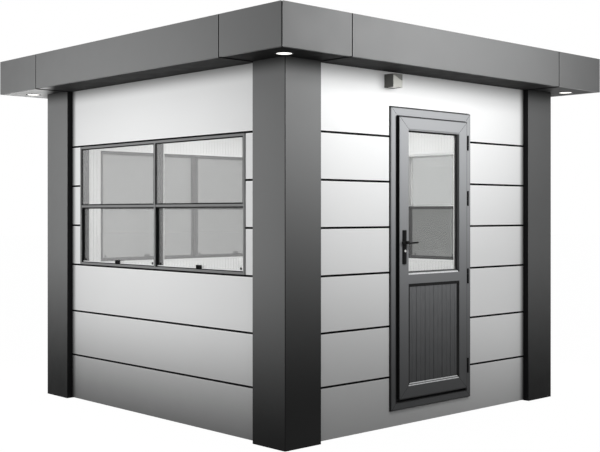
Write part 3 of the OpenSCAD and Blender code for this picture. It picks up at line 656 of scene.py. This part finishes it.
def soffit_material(colours):
    """Dark satin boards under the roof with black joints, painted shade near the front left corner and painted
    light past slanting lines from two posts.
    """
    graph = Finish("soffit_coat")
    at, x, y, z = graph.place()
    # Painted shade near the front left corner
    near = graph.under(graph.most(x, y), -SEAM)
    boards = graph.mix(near, rgba(colours.soffit), rgba(colours.soffit, 0.35))
    # Painted light past a line: its colour, the axes across and along it, its slope, and where it starts and
    # ends
    lines = ((colours.soffit_end_light, x, y, 1.58, 3.70, 3.87), (colours.soffit_lit, y, x, 1.82, 4.02, 4.25))
    for tone, across, along, slope, start, end in lines:
        past = graph.remap(graph.less(across, graph.times(along, slope)), start, end)
        boards = graph.mix(past, boards, rgba(tone))
    joint_half = 0.006
    joint = graph.under(seam_distance(graph), joint_half)
    return graph.coat(graph.mix(joint, boards, rgba(colours.black, 0.3)), roughness=0.6, specular=0.03)


def window_frame_material(colours, side, rail_z, upper, lower):
    """Anthracite window frame; its reveals behind the face have one tone above the rail and one below it:
    painted shade on the back window, painted light above the rail on the right one.
    """
    graph = Finish(f"{side}_window_coat")
    face_depth, outer_depth = 0.0485, 0.1205
    face = graph.face_mask(face_depth)
    if side == "right":
        face = graph.times(face, graph.over(graph.normal()[0], 0.5))
    reveal = graph.mix(graph.over(graph.place()[3], rail_z), rgba(lower), rgba(upper))
    tone = graph.mix(face, reveal, rgba(colours.anthracite, 1.5))
    if side == "left":
        tone = graph.mix(graph.face_mask(outer_depth), rgba(colours.lining), tone)
    return graph.coat(tone, roughness=0.42, specular=0.12)


def door_foil(graph, colours):
    """Grey foil of the door with painted shade that darkens it towards the ground."""
    return graph.ground_shade(rgba(colours.door), foot=0.0, top=2.2, shade=0.13)


def door_material(colours, name, box, skin, inner_y):
    """Door foil with painted dark outlines, black edges behind its skin and a white inner side."""
    graph = Finish(name)
    at, x, y, z = graph.place()
    low, high = box
    black = rgba(colours.black)
    # Painted shadow lines along the right, bottom and top edges
    from_edge = reduce(graph.least, (graph.less(high.x, x), graph.less(z, low.z), graph.less(high.z, z)))
    outline = graph.remap(from_edge, 0.003, 0.009, 0.85, 0.0)
    foil = graph.mix(outline, door_foil(graph, colours), black)
    outer = graph.mix(graph.under(y, low.y + skin), black, foil)
    tone = graph.mix(graph.over(y, inner_y), outer, rgba(colours.lining))
    return graph.coat(tone, roughness=0.45, specular=0.12, peel=600.0)


def rebate_material(colours, head_z):
    """Seal of the door's rebate: black rubber, in the grey of the door along the head."""
    graph = Finish("rebate_rubber")
    tone = graph.mix(graph.over(graph.place()[3], head_z), rgba(colours.black), rgba(colours.door))
    return graph.coat(tone, roughness=0.6, specular=0.1, peel=900.0)


def board_material(colours):
    """Grey foil of the door's boarded panel, with a fine upright grain and painted shade towards the ground.
    """
    graph = Finish("door_board_foil")
    fibres = graph.noise(graph.place()[0], 30.0, 4.0, (14.0, 14.0, 0.35))
    tone = graph.shade(door_foil(graph, colours), graph.remap(fibres, 0.3, 0.7, 0.72, 0.98))
    return graph.coat(tone, roughness=0.5, specular=0.10, peel=600.0)


# Roughness and specular level of the black finishes
BLACKS = {
    "furniture_black": (0.5, 0.04), "rubber_seal": (0.6, 0.1), "joint_strip": (0.7, 0.1),
    "joint_rubber": (0.7, 0.05), "mitre_weld": (0.6, 0.1), "rim_coat": (0.4, 0.2)}


def black_material(colours, name):
    """One of the black finishes of trim and fittings, with a fine moulded grain."""
    graph = Finish(name)
    return graph.coat(rgba(colours.black), *BLACKS[name], peel=900.0, mottle=0.2)


def sash_material(colours, rail_z):
    """Black sashes whose bottom rail has a painted highlight along its upper edge."""
    graph = Finish("sash_black")
    edge_h = 0.006
    above = graph.less(graph.place()[3], rail_z)
    pale = graph.times(graph.over(above, 0.0), graph.under(above, edge_h))
    tone = graph.mix(pale, rgba(colours.black), rgba(colours.panel))
    return graph.coat(tone, roughness=0.5, specular=0.04, peel=900.0)


def bead_material(colours, panel_z, glass, bead_w):
    """Black glazing beads: painted highlights as bright lines on the lower ones, door grey on the outer part
    over the glass and painted shade on the outer part right of it.
    """
    graph = Finish("glazing_bead")
    at, x, y, z = graph.place()
    low, high = glass
    # Painted highlights on the beads' upward faces: two lines on the lowest bead, a strong one below the glass
    # and a faint one on the rest
    from_middle = graph.size(graph.less(z, panel_z + bead_w / 2))
    double = graph.remap(from_middle, 0.15 * bead_w, 0.25 * bead_w, 0.25, 1.0)
    single = graph.remap(z, low.z + 0.4 * bead_w, low.z + 0.6 * bead_w, 0.95, 0.12)
    lowest = graph.under(z, panel_z + 2 * bead_w)
    amount = graph.math("ADD", graph.times(lowest, double), graph.times(graph.less(1.0, lowest), single))
    lined = graph.dust_and_highlight(rgba(colours.black), rgba(colours.bead_highlight), amount)
    # Painted shade on the outer part right of the glass; door grey on the outer part over it
    right = graph.times(graph.over(x, high.x - 0.55 * bead_w), graph.over(z, low.z))
    tone = graph.mix(right, lined, rgba(colours.door, 0.14))
    tone = graph.mix(graph.over(z, high.z - 0.54 * bead_w), tone, rgba(colours.door))
    return graph.coat(tone, roughness=0.4, specular=0.08, peel=600.0)


def glass_material(name, milk, upper, lower=None, rail_z=0.0):
    """Glass with a share of pale veil, in another tint below a rail. Light passes straight to the room."""
    graph = Finish(name)
    at, x, y, z = graph.place()
    haze = graph.remap(graph.noise(at, 1.5, 2.0), 0.3, 0.7, 0.97, 1.0)
    tint = graph.mix(graph.over(z, rail_z), rgba(lower or upper), rgba(upper))
    graph.plain({
        "Base Color": graph.shade(tint, haze), "Roughness": 0.0, "IOR": 1.35,
        "Transmission Weight": 1.0 - milk})
    clear = graph.add("ShaderNodeBsdfTransparent", {"Color": rgba(upper)})
    return graph.mixed(graph.add("ShaderNodeLightPath").outputs["Is Shadow Ray"], clear)


def steel_material(colours):
    """Brushed steel."""
    graph = Finish("brushed_steel")
    strokes = graph.noise(graph.place()[0], 40.0, 4.0, (1.0, 1.0, 40.0))
    brushed = graph.remap(strokes, 0.3, 0.7, 0.24, 0.40)
    return graph.plain({"Base Color": rgba(colours.steel), "Metallic": 1.0, "Roughness": brushed})


def lens_material(colours):
    """Opal lenses with a soft cloud; those in the soffit glow."""
    graph = Finish("opal_lens")
    at, x, y, z = graph.place()
    tone = graph.shade(rgba(colours.lens), graph.remap(graph.noise(at, 25.0, 2.0), 0.2, 0.8, 0.92, 1.0))
    glow = graph.mix(graph.over(z, CEILING_Z - 0.03), (0.0, 0.0, 0.0, 1.0), tone)
    return graph.plain({
        "Base Color": tone, "Emission Color": glow, "Emission Strength": 1.6, "Roughness": 0.35})


def lamp_material(colours, low, high):
    """Wall lamp: a pale front cover with a painted shadow over a slanting line, and painted shade on the rest
    of the casing.
    """
    graph = Finish("lamp_casing")
    at, x, y, z = graph.place()
    cover_t, soft = 0.004, 0.004
    # Painted shadow over a slanting line on the cover; painted shade on the casing behind it
    line = graph.remap(x, low.x, high.x, high.z - 0.012, high.z - 0.042)
    cover = graph.shade(rgba(colours.lamp), graph.remap(graph.less(z, line), -soft, soft, 1.0, 0.28))
    tone = graph.mix(graph.under(y, low.y + cover_t), rgba(colours.lamp, 0.22), cover)
    return graph.coat(tone, roughness=0.45, specular=0.3)


def floor_material(colours):
    """Speckled sheet on the room's floor."""
    graph = Finish("floor_sheet")
    speck = graph.remap(graph.noise(graph.place()[0], 220.0, 2.0), 0.45, 0.6, 0.0, 0.25)
    tone = graph.mix(speck, rgba(colours.floor_sheet), rgba(colours.anthracite))
    return graph.coat(tone, roughness=0.5, specular=0.3, mottle=0.1)


def roof_material(colours):
    """Dusty roof membrane."""
    graph = Finish("roof_membrane")
    dusty = graph.dust_and_highlight(rgba(colours.roof_sheet), rgba(colours.roof_dust), 0.5)
    return graph.coat(dusty, roughness=0.75, specular=0.2, peel=120.0, mottle=0.3, bump=0.3)


def dress(material, *names):
    """Gives CAD nodes a material in place of their plain one."""
    for name in names:
        slots = NODES[name].data.materials
        slots.clear()
        slots.append(material)


# Operators

class BoothOperator:
    """Common options of the booth's operators"""
    bl_options = {"REGISTER", "UNDO"}


class BOOTH_OT_finish_walls(BoothOperator, bpy.types.Operator):
    """Finish the cladding, the wall cores, the shadow gaps, the floor and the ceiling"""
    bl_idname = "booth.finish_walls"
    bl_label = "Walls"

    def execute(self, context):
        colours = context.scene.booth_colours
        # The door's wall gets a brighter copy of the white as painted light; each wall has its own painted
        # shade at the foot and under the eaves
        door_wall = panel_material(
            colours, "door_wall_panels", level=1.08, foot=-0.35, tops=(1.3, 0.75),
            foot_shade=0.35, eave_shade=0.7)
        window_walls = panel_material(
            colours, "window_wall_panels", level=1.0, foot=-0.25, tops=(0.85, 0.85),
            foot_shade=0.10, eave_shade=0.35)
        dress(door_wall, "front_cladding")
        dress(window_walls, *(f"{side}_cladding" for side in WINDOW_SIDES))
        cores = [f"front_wall_{part}" for part in ("left", "right", "header", "sill")]
        cores += [f"{side}_wall" for side in WINDOW_SIDES]
        dress(shared(lining_material, colours, "inner_white_coat"), *cores, "ceiling")
        dress(black_material(colours, "joint_strip"), "panel_joints")
        dress(floor_material(colours), "floor_deck")
        return {"FINISHED"}


class BOOTH_OT_finish_casings(BoothOperator, bpy.types.Operator):
    """Finish the corner posts, the fascia, the soffit and the roof"""
    bl_idname = "booth.finish_casings"
    bl_label = "Posts and roof"

    def execute(self, context):
        colours = context.scene.booth_colours
        posts = [f"{end}_{side}_post" for end, side in product(("front", "back"), ("left", "right"))]
        dress(post_material(colours), *posts)
        dress(fascia_material(colours), *(f"{side}_fascia" for side in SIDES))
        dress(soffit_material(colours), "soffit")
        dress(roof_material(colours), "roof_deck")
        return {"FINISHED"}


class BOOTH_OT_finish_windows(BoothOperator, bpy.types.Operator):
    """Finish the window frames, sashes, trims and panes"""
    bl_idname = "booth.finish_windows"
    bl_label = "Windows"

    def execute(self, context):
        colours = context.scene.booth_colours
        rail_z = context.scene.booth_sizes.rail_top
        dark = rgba(colours.anthracite, 0.35)[:3]
        # Tones of the reveals above and below the rail, as painted shade on the back window and painted light
        # above the rail on the right one
        reveals = {
            "left": (colours.black, colours.black), "back": (dark, dark),
            "right": (colours.reveal, colours.black)}
        for side, tones in reveals.items():
            dress(window_frame_material(colours, side, rail_z, *tones), f"{side}_window_frame")
        dress(shared(lining_material, colours, "inner_white_coat"), "window_trims")
        black = shared(black_material, colours, "furniture_black")
        dress(black, "right_window_sashes", "back_window_sashes")
        # The left sashes' painted highlight starts this far above their foot
        pale_edge_up = 0.013
        dress(sash_material(colours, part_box("left_window_sashes")[0].z + pale_edge_up), "left_window_sashes")
        # The back and right windows' darker tints are painted shade
        panes = {
            "left": ("coated_glass", 0.105, colours.coated_glass),
            "back": ("grey_glass", 0.10, colours.grey_glass),
            "right": ("two_tone_glass", 0.05, colours.pale_glass, colours.dark_glass, rail_z)}
        for side, glass in panes.items():
            dress(glass_material(*glass), f"{side}_window_glass")
        return {"FINISHED"}


class BOOTH_OT_finish_door(BoothOperator, bpy.types.Operator):
    """Finish the door, its frame and its furniture"""
    bl_idname = "booth.finish_door"
    bl_label = "Door"

    def execute(self, context):
        colours = context.scene.booth_colours
        bead_w = context.scene.booth_sizes.bead_w
        rim, leaf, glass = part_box("door_frame"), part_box("door_leaf"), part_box("door_glass")
        frame_skin, leaf_skin = 0.009, 0.003
        dress(door_material(colours, "door_frame_foil", rim, frame_skin, leaf[1].y + 0.010), "door_frame")
        dress(door_material(colours, "door_leaf_foil", leaf, leaf_skin, glass[1].y - 0.001), "door_leaf")
        dress(board_material(colours), "door_panel")
        dress(bead_material(colours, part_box("door_panel")[0].z, glass, bead_w), "door_beads")
        dress(glass_material("door_glass", 0.01, colours.clear_glass), "door_glass")
        black = shared(black_material, colours, "furniture_black")
        dress(black, "frame_hinges", "leaf_hinges", "handle_plates", "door_lever", "window_latches")
        dress(steel_material(colours), "lock_cylinder")
        return {"FINISHED"}


class BOOTH_OT_finish_lights(BoothOperator, bpy.types.Operator):
    """Finish the downlights and the wall lamp"""
    bl_idname = "booth.finish_lights"
    bl_label = "Lights"

    def execute(self, context):
        colours = context.scene.booth_colours
        dress(black_material(colours, "rim_coat"), "downlight_rims")
        dress(lens_material(colours), "lamp_lenses")
        dress(lamp_material(colours, *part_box("wall_lamp")), "wall_lamp")
        return {"FINISHED"}


class BOOTH_OT_add_lining(BoothOperator, bpy.types.Operator):
    """Line the room with grooved boards round the windows and the door"""
    bl_idname = "booth.add_lining"
    bl_label = "Inner lining"

    def execute(self, context):
        sizes = context.scene.booth_sizes
        boards = (sizes.board_pitch, sizes.board_groove, sizes.lining_t)
        whole_z = (FLOOR_Z, CEILING_Z)
        sheets = []
        for side in SIDES:
            hole_u, hole_z = self.opening(side, sizes.trim_w)
            inset = 0.0 if side in ("front", "back") else sizes.lining_t
            edge = HALF_X - ROOM_DEPTH - inset
            strips = (
                ((-edge, hole_u[0]), whole_z), ((hole_u[1], edge), whole_z),
                (hole_u, (hole_z[1], CEILING_Z)), (hole_u, (FLOOR_Z, hole_z[0])))
            sheets += [grooved_sheet(side, u, z, *boards) for u, z in strips if z[1] - z[0] > sizes.lining_t]
        lining = shared(lining_material, context.scene.booth_colours, "inner_white_coat")
        add_piece("room_lining", join(sheets), "booth", lining)
        return {"FINISHED"}

    def opening(self, side, trim_w):
        """Ranges of u and z that a side's lining leaves open."""
        if side == "front":
            low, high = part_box("door_frame")
            return (low.x, high.x), (FLOOR_Z, high.z)
        low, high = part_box(f"{side}_window_frame")
        half = window_half(side) + trim_w
        return (-half, half), (low.z - trim_w, high.z + trim_w)


class BOOTH_OT_add_window_seals(BoothOperator, bpy.types.Operator):
    """Press a rubber seal round each upper pane, and a bead round the back window inside"""
    bl_idname = "booth.add_window_seals"
    bl_label = "Window seals"

    def execute(self, context):
        sizes = context.scene.booth_sizes
        colours = context.scene.booth_colours
        rubber = shared(black_material, colours, "rubber_seal")
        # Seals inside have a negative height, because they stand into the room
        inner = (sizes.inner_bead, -0.3 * sizes.inner_bead)
        for side in WINDOW_SIDES:
            uppers, lowers = window_panes(side)
            z = (sizes.rail_top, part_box(f"{side}_window_frame")[1].z - sizes.window_face)
            rings = []
            for sign, pane in zip((1, -1), uppers):
                u = sorted((sign * sizes.mullion_w / 2, sign * (window_half(side) - sizes.window_face)))
                rings.append(seal_ring(side, u, z, pane[:, 1].min(), sizes.seal_w, sizes.seal_h))
            finish = rubber
            if side == "right":
                finish = shared(lining_material, colours, "inner_white_coat")
                for low, high in ((pane.min(0), pane.max(0)) for pane in uppers):
                    rings.append(seal_ring(side, (low[0], high[0]), (low[2], high[2]), high[1], *inner))
            add_piece(f"{side}_window_seals", join(rings), "booth", finish, smooth=True)
        low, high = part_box("back_window_frame")
        lap_u, lap_z = 0.6 * sizes.inner_bead, 0.002
        u, z = (low.x - lap_u, high.x + lap_u), (low.z - lap_z, high.z + lap_z)
        bead = seal_ring("back", u, z, ROOM_DEPTH + sizes.trim_t, *inner)
        add_piece("back_window_bead", bead, "booth", rubber, smooth=True)
        return {"FINISHED"}


class BOOTH_OT_add_sash_fittings(BoothOperator, bpy.types.Operator):
    """Add the moulded sash latches and the fixing buttons of the lower panes"""
    bl_idname = "booth.add_sash_fittings"
    bl_label = "Sash fittings"

    def execute(self, context):
        sizes = context.scene.booth_sizes
        black = shared(black_material, context.scene.booth_colours, "furniture_black")
        low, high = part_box("window_latches")
        mid_z, half_z = (high.z + low.z) / 2, (high.z - low.z) / 2
        # A latch has two lugs and a bridge across them, given by half sizes
        lug, lug_off = (0.0095, 0.0075, half_z), 0.0165
        bridge, bridge_z = (0.025, 0.005, half_z * 0.5), mid_z + half_z * 0.35
        button = (sizes.button_r, 0.003, sizes.button_r)
        latches, buttons = [], []
        for side in WINDOW_SIDES:
            front = side_places(f"{side}_window_sashes", side)[:, 1].min()
            for pane in window_panes(side)[1]:
                start, end = pane.min(0), pane.max(0)
                mid = (start[0] + end[0]) / 2
                for off in (-lug_off, lug_off):
                    latches.append(turned_block(side, (mid + off, front - lug[1], mid_z), lug))
                latches.append(turned_block(side, (mid, front - bridge[1], bridge_z), bridge))
                for across in (start[0] + sizes.button_left, end[0] - sizes.button_right):
                    at = (across, start[1] - 0.001, start[2] + sizes.button_up)
                    buttons.append(turned_block(side, at, button, 1.0))
        piece = add_piece("sash_latches", join(latches), "booth", black, smooth=True)
        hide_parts("window_latches")
        add_piece("sash_buttons", join(buttons), "booth", black, smooth=True)
        return {"FINISHED"}


class BOOTH_OT_add_roof_joints(BoothOperator, bpy.types.Operator):
    """Add the black strips in the fascia's joints and corners and under the soffit's joints"""
    bl_idname = "booth.add_roof_joints"
    bl_label = "Roof joints"

    def execute(self, context):
        sizes = context.scene.booth_sizes
        low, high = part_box("front_fascia")
        mid_z = (low.z + high.z) / 2
        edge, inside = low.y + HALF_Y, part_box("soffit")[0].y + HALF_Y
        front = edge + sizes.strip_back
        short, lap, sharp = 0.001, 0.0005, 0.1
        upright = (sizes.strip_w / 2, (inside - front) / 2, (high.z - low.z) / 2 - short)
        under = (0.75 * sizes.strip_w, -edge / 2 - short, sizes.strip_drop / 2)
        strips = []
        for side, joint in product(SIDES, (-SEAM, SEAM)):
            strips.append(turned_block(side, (joint, (front + inside) / 2, mid_z), upright, sharp))
            at = (joint, edge / 2, low.z + lap - sizes.strip_drop / 2)
            strips.append(turned_block(side, at, under, sharp))
        corner = high.x - 2 * sizes.strip_back
        rod = (sizes.strip_w, sizes.strip_w, upright[2])
        for x, y in product((-corner, corner), repeat=2):
            strips.append(rounded_block((x, y, mid_z), rod, sharp))
        rubber = black_material(context.scene.booth_colours, "joint_rubber")
        add_piece("roof_joint_strips", join(strips), "booth", rubber)
        return {"FINISHED"}


class BOOTH_OT_add_door_details(BoothOperator, bpy.types.Operator):
    """Add the door's rubber seals, its welded mitre lines and the caps of its hinges"""
    bl_idname = "booth.add_door_details"
    bl_label = "Door details"

    def execute(self, context):
        sizes = context.scene.booth_sizes
        colours = context.scene.booth_colours
        rim, leaf, panel, glass = (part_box(f"door_{part}") for part in ("frame", "leaf", "panel", "glass"))
        rings = []
        for low, high in (glass, panel):
            u = (low.x + sizes.bead_w, high.x - sizes.bead_w)
            z = (low.z + sizes.bead_w, high.z - sizes.bead_w)
            rings.append(seal_ring("front", u, z, low.y + HALF_Y, sizes.door_seal, sizes.door_seal))
        rubber = shared(black_material, colours, "rubber_seal")
        add_piece("door_seals", join(rings), "door", rubber, smooth=True)
        # Inner edge of the frame's face: how far it stands off the leaf, and off its foot
        gap, foot_gap = 0.0135, 0.024
        inner_u, inner_z = (leaf[0].x - gap, leaf[1].x + gap), (leaf[0].z - foot_gap, leaf[1].z + gap)
        lip = sizes.rebate_seal
        u, z = (inner_u[0] - lip, inner_u[1] + lip), (inner_z[0] - 0.4 * lip, inner_z[1] + 0.1 * lip)
        ring = seal_ring("front", u, z, rim[0].y + HALF_Y, lip, 0.3 * lip)
        add_piece("rebate_seal", ring, "booth", rebate_material(colours, leaf[1].z), smooth=True)
        weld = black_material(colours, "mitre_weld")
        lines = self.corner_lines(leaf, (panel[0].x, glass[1].x), (panel[0].z, glass[1].z), sizes.mitre_w)
        add_piece("leaf_mitres", join(lines), "door", weld)
        lines = self.corner_lines(rim, inner_u, inner_z, sizes.mitre_w)
        add_piece("frame_mitres", join(lines), "booth", weld)
        black = shared(black_material, colours, "furniture_black")
        add_piece("hinge_caps", join(self.hinge_caps(sizes)), "booth", black, smooth=True)
        return {"FINISHED"}

    def corner_lines(self, box, inner_u, inner_z, width):
        """Ridges from the outer corners of a box's front face to the corners of an inner rectangle."""
        low, high = box
        depth, inset, height = low.y + HALF_Y, 0.003, 0.0006
        outer_u = (low.x + inset, high.x - inset)
        outer_z = (low.z + inset, high.z - inset)
        return [
            flat_bar("front", (outer_u[i], outer_z[k]), (inner_u[i], inner_z[k]), depth, width, height)
            for i, k in product((0, 1), repeat=2)]

    def hinge_caps(self, sizes):
        """Domed caps on both ends of each hinge barrel, whose frame parts have four levels each."""
        levels = node_levels("frame_hinges")
        axis = joint_axis("door_swing")
        half = (sizes.hinge_r, sizes.hinge_r, sizes.cap_h)
        ends = np.concatenate([levels[0::4], levels[3::4]])
        return [rounded_block((axis[0], axis[1], height), half, 0.8) for height in ends]


class BOOTH_OT_add_lever(BoothOperator, bpy.types.Operator):
    """Shape the smooth lever handles with their oval bosses on both faces of the door"""
    bl_idname = "booth.add_lever"
    bl_label = "Lever"

    def execute(self, context):
        sizes = context.scene.booth_sizes
        axis = joint_axis("lever_turn")
        low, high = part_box("door_lever")
        plate_low, plate_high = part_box("handle_plates")
        neck_r, tip_gap = 0.0105, 0.004
        boss, boss_out = (sizes.boss_w / 2, 0.0072, 0.011), 0.0075
        grip = high.x - axis[0] - tip_gap
        shapes = []
        for side, plate, end in ((-1, plate_low.y, low.y), (1, plate_high.y, high.y)):
            reach = abs(end - plate) - sizes.lever_t / 2
            start = (axis[0], plate, axis[2])
            shapes.append(swept_lever(start, side, reach, grip, neck_r, sizes.lever_t, sizes.lever_dip))
            at = (axis[0], plate + side * boss_out, axis[2])
            shapes.append(rounded_block(at, boss, 0.6, 16, 32))
        black = shared(black_material, context.scene.booth_colours, "furniture_black")
        lever = add_piece("smooth_lever", join(shapes), "lever", black, smooth=True)
        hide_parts("door_lever")
        return {"FINISHED"}


class BOOTH_OT_set_stage(BoothOperator, bpy.types.Operator):
    """Set the camera, the pale floor, the white background and the soft light"""
    bl_idname = "booth.set_stage"
    bl_label = "Stage"

    def execute(self, context):
        stage = context.scene.booth_stage
        context.scene.view_settings.view_transform = "Standard"
        self.set_camera(context.scene, stage)
        self.set_world(context.scene, stage)
        self.set_floor(context.scene, stage)
        self.set_lights(context.scene, stage)
        return {"FINISHED"}

    def set_camera(self, scene, stage):
        """Level camera with a shifted frame."""
        data = bpy.data.cameras.new("camera")
        data.sensor_width = 36.0
        data.lens = stage.lens_mm
        data.shift_y = stage.shift_y
        data.clip_end = 200.0
        camera = bpy.data.objects.new("camera", data)
        camera.location = stage.camera_at
        camera.rotation_euler = Vector(stage.camera_along).to_track_quat("-Z", "Y").to_euler()
        scene.collection.objects.link(camera)
        scene.camera = camera

    def seen_mask(self, graph):
        """1 for rays from the camera, off gloss or through glass."""
        path = graph.add("ShaderNodeLightPath").outputs
        return reduce(graph.most, (path[f"Is {kind} Ray"] for kind in ("Camera", "Glossy", "Transmission")))

    def set_world(self, scene, stage):
        """White to the eye, an even fill to the surfaces."""
        world = bpy.data.worlds.new("white_studio")
        world.use_nodes = True
        world.node_tree.nodes.clear()
        graph = Graph(world.node_tree)
        strength = graph.math("MULTIPLY_ADD", self.seen_mask(graph), 1.0 - stage.fill, stage.fill)
        background = graph.add("ShaderNodeBackground", {"Color": (1, 1, 1, 1), "Strength": strength})
        graph.add("ShaderNodeOutputWorld", {"Surface": background.outputs[0]})
        scene.world = world

    def set_floor(self, scene, stage):
        """Wide floor that looks white and still takes the booth's shadow."""
        reach, white_strength, white_share = 60.0, 1.07, 0.92
        mesh = bpy.data.meshes.new("studio_floor")
        corners = reach * np.array([(-1, -1, 0), (1, -1, 0), (1, 1, 0), (-1, 1, 0)], float)
        mesh.from_pydata(corners.tolist(), [], [[0, 1, 2, 3]])
        floor = bpy.data.objects.new("studio_floor", mesh)
        scene.collection.objects.link(floor)
        graph = Finish("studio_floor")
        graph.plain({"Base Color": rgba(stage.floor), "Roughness": 0.9, "Specular IOR Level": 0.0})
        white = graph.add("ShaderNodeEmission", {"Color": (1, 1, 1, 1), "Strength": white_strength})
        mesh.materials.append(graph.mixed(graph.times(self.seen_mask(graph), white_share), white))

    def add_soft_box(self, scene, name, at, along, size, radiance, glossy=False):
        """Rectangular light whose face looks along a direction, unseen by the camera and through glass."""
        data = bpy.data.lights.new(name, "AREA")
        data.shape = "RECTANGLE"
        data.size, data.size_y = size
        data.energy = radiance * np.pi * size[0] * size[1]
        light = bpy.data.objects.new(name, data)
        light.location = at
        light.rotation_euler = Vector(along).to_track_quat("-Z", "Y").to_euler()
        light.visible_camera = False
        light.visible_transmission = False
        light.visible_glossy = glossy
        scene.collection.objects.link(light)

    def set_lights(self, scene, stage):
        """A soft box before each wall, high before the door so that its light falls off downwards.

        A low one fills the foot of the door's wall, and one hangs in the room."""
        # Place along the wall, distance, height, width and height of the box, and share of the key's radiance
        plain_box = (2.0, 2.05, (2.8, 1.6), 0.54)
        boxes = {
            "front": (-0.2, 1.5, 2.78, (2.6, 0.95), 1.02), "left": (-0.25, *plain_box),
            "right": (0.0, *plain_box), "back": (0.0, *plain_box)}
        for side, (offset, away, height, size, part) in boxes.items():
            at = on_side(side, (offset, -away, height))
            inward = on_side(side, (offset, 0.0, height)) - at
            radiance = stage.key_radiance * part
            self.add_soft_box(scene, f"soft_box_{side}", at, inward, size, radiance, side == "front")
        at, target = on_side("front", (2.0, -2.2, 0.9)), on_side("front", (1.0, 0.0, 0.6))
        self.add_soft_box(scene, "low_fill", at, target - at, (1.2, 1.2), 0.12 * stage.key_radiance)
        at = (0, 0, CEILING_Z - 0.02)
        self.add_soft_box(scene, "room_light", at, (0, 0, -1), (1.8, 1.8), stage.room_radiance)


PIECES = (
    BOOTH_OT_finish_walls, BOOTH_OT_finish_casings, BOOTH_OT_finish_windows, BOOTH_OT_finish_door,
    BOOTH_OT_finish_lights, BOOTH_OT_add_lining, BOOTH_OT_add_window_seals, BOOTH_OT_add_sash_fittings,
    BOOTH_OT_add_roof_joints, BOOTH_OT_add_door_details, BOOTH_OT_add_lever, BOOTH_OT_set_stage,
)


class BOOTH_PT_pieces(bpy.types.Panel):
    """Lists the booth's pieces, sizes and colours"""
    bl_label = "Guard booth"
    bl_idname = "BOOTH_PT_pieces"
    bl_space_type = "VIEW_3D"
    bl_region_type = "UI"
    bl_category = "Booth"

    def draw(self, context):
        for piece in PIECES:
            self.layout.operator(piece.bl_idname)
        for group in SETTINGS:
            settings = getattr(context.scene, group)
            for name in settings.__annotations__:
                self.layout.prop(settings, name)


SETTINGS = {"booth_sizes": BoothSizes, "booth_colours": BoothColours, "booth_stage": BoothStage}


def register():
    for made in (*SETTINGS.values(), *PIECES, BOOTH_PT_pieces):
        bpy.utils.register_class(made)
    for name, made in SETTINGS.items():
        setattr(bpy.types.Scene, name, PointerProperty(type=made))


def unregister():
    for name in SETTINGS:
        delattr(bpy.types.Scene, name)
    for made in (BOOTH_PT_pieces, *reversed(PIECES), *SETTINGS.values()):
        bpy.utils.unregister_class(made)


def main():
    """Registers the add-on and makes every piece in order."""
    register()
    for piece in PIECES:
        family, name = piece.bl_idname.split(".")
        getattr(getattr(bpy.ops, family), name)()


if __name__ == "__main__":
    main()
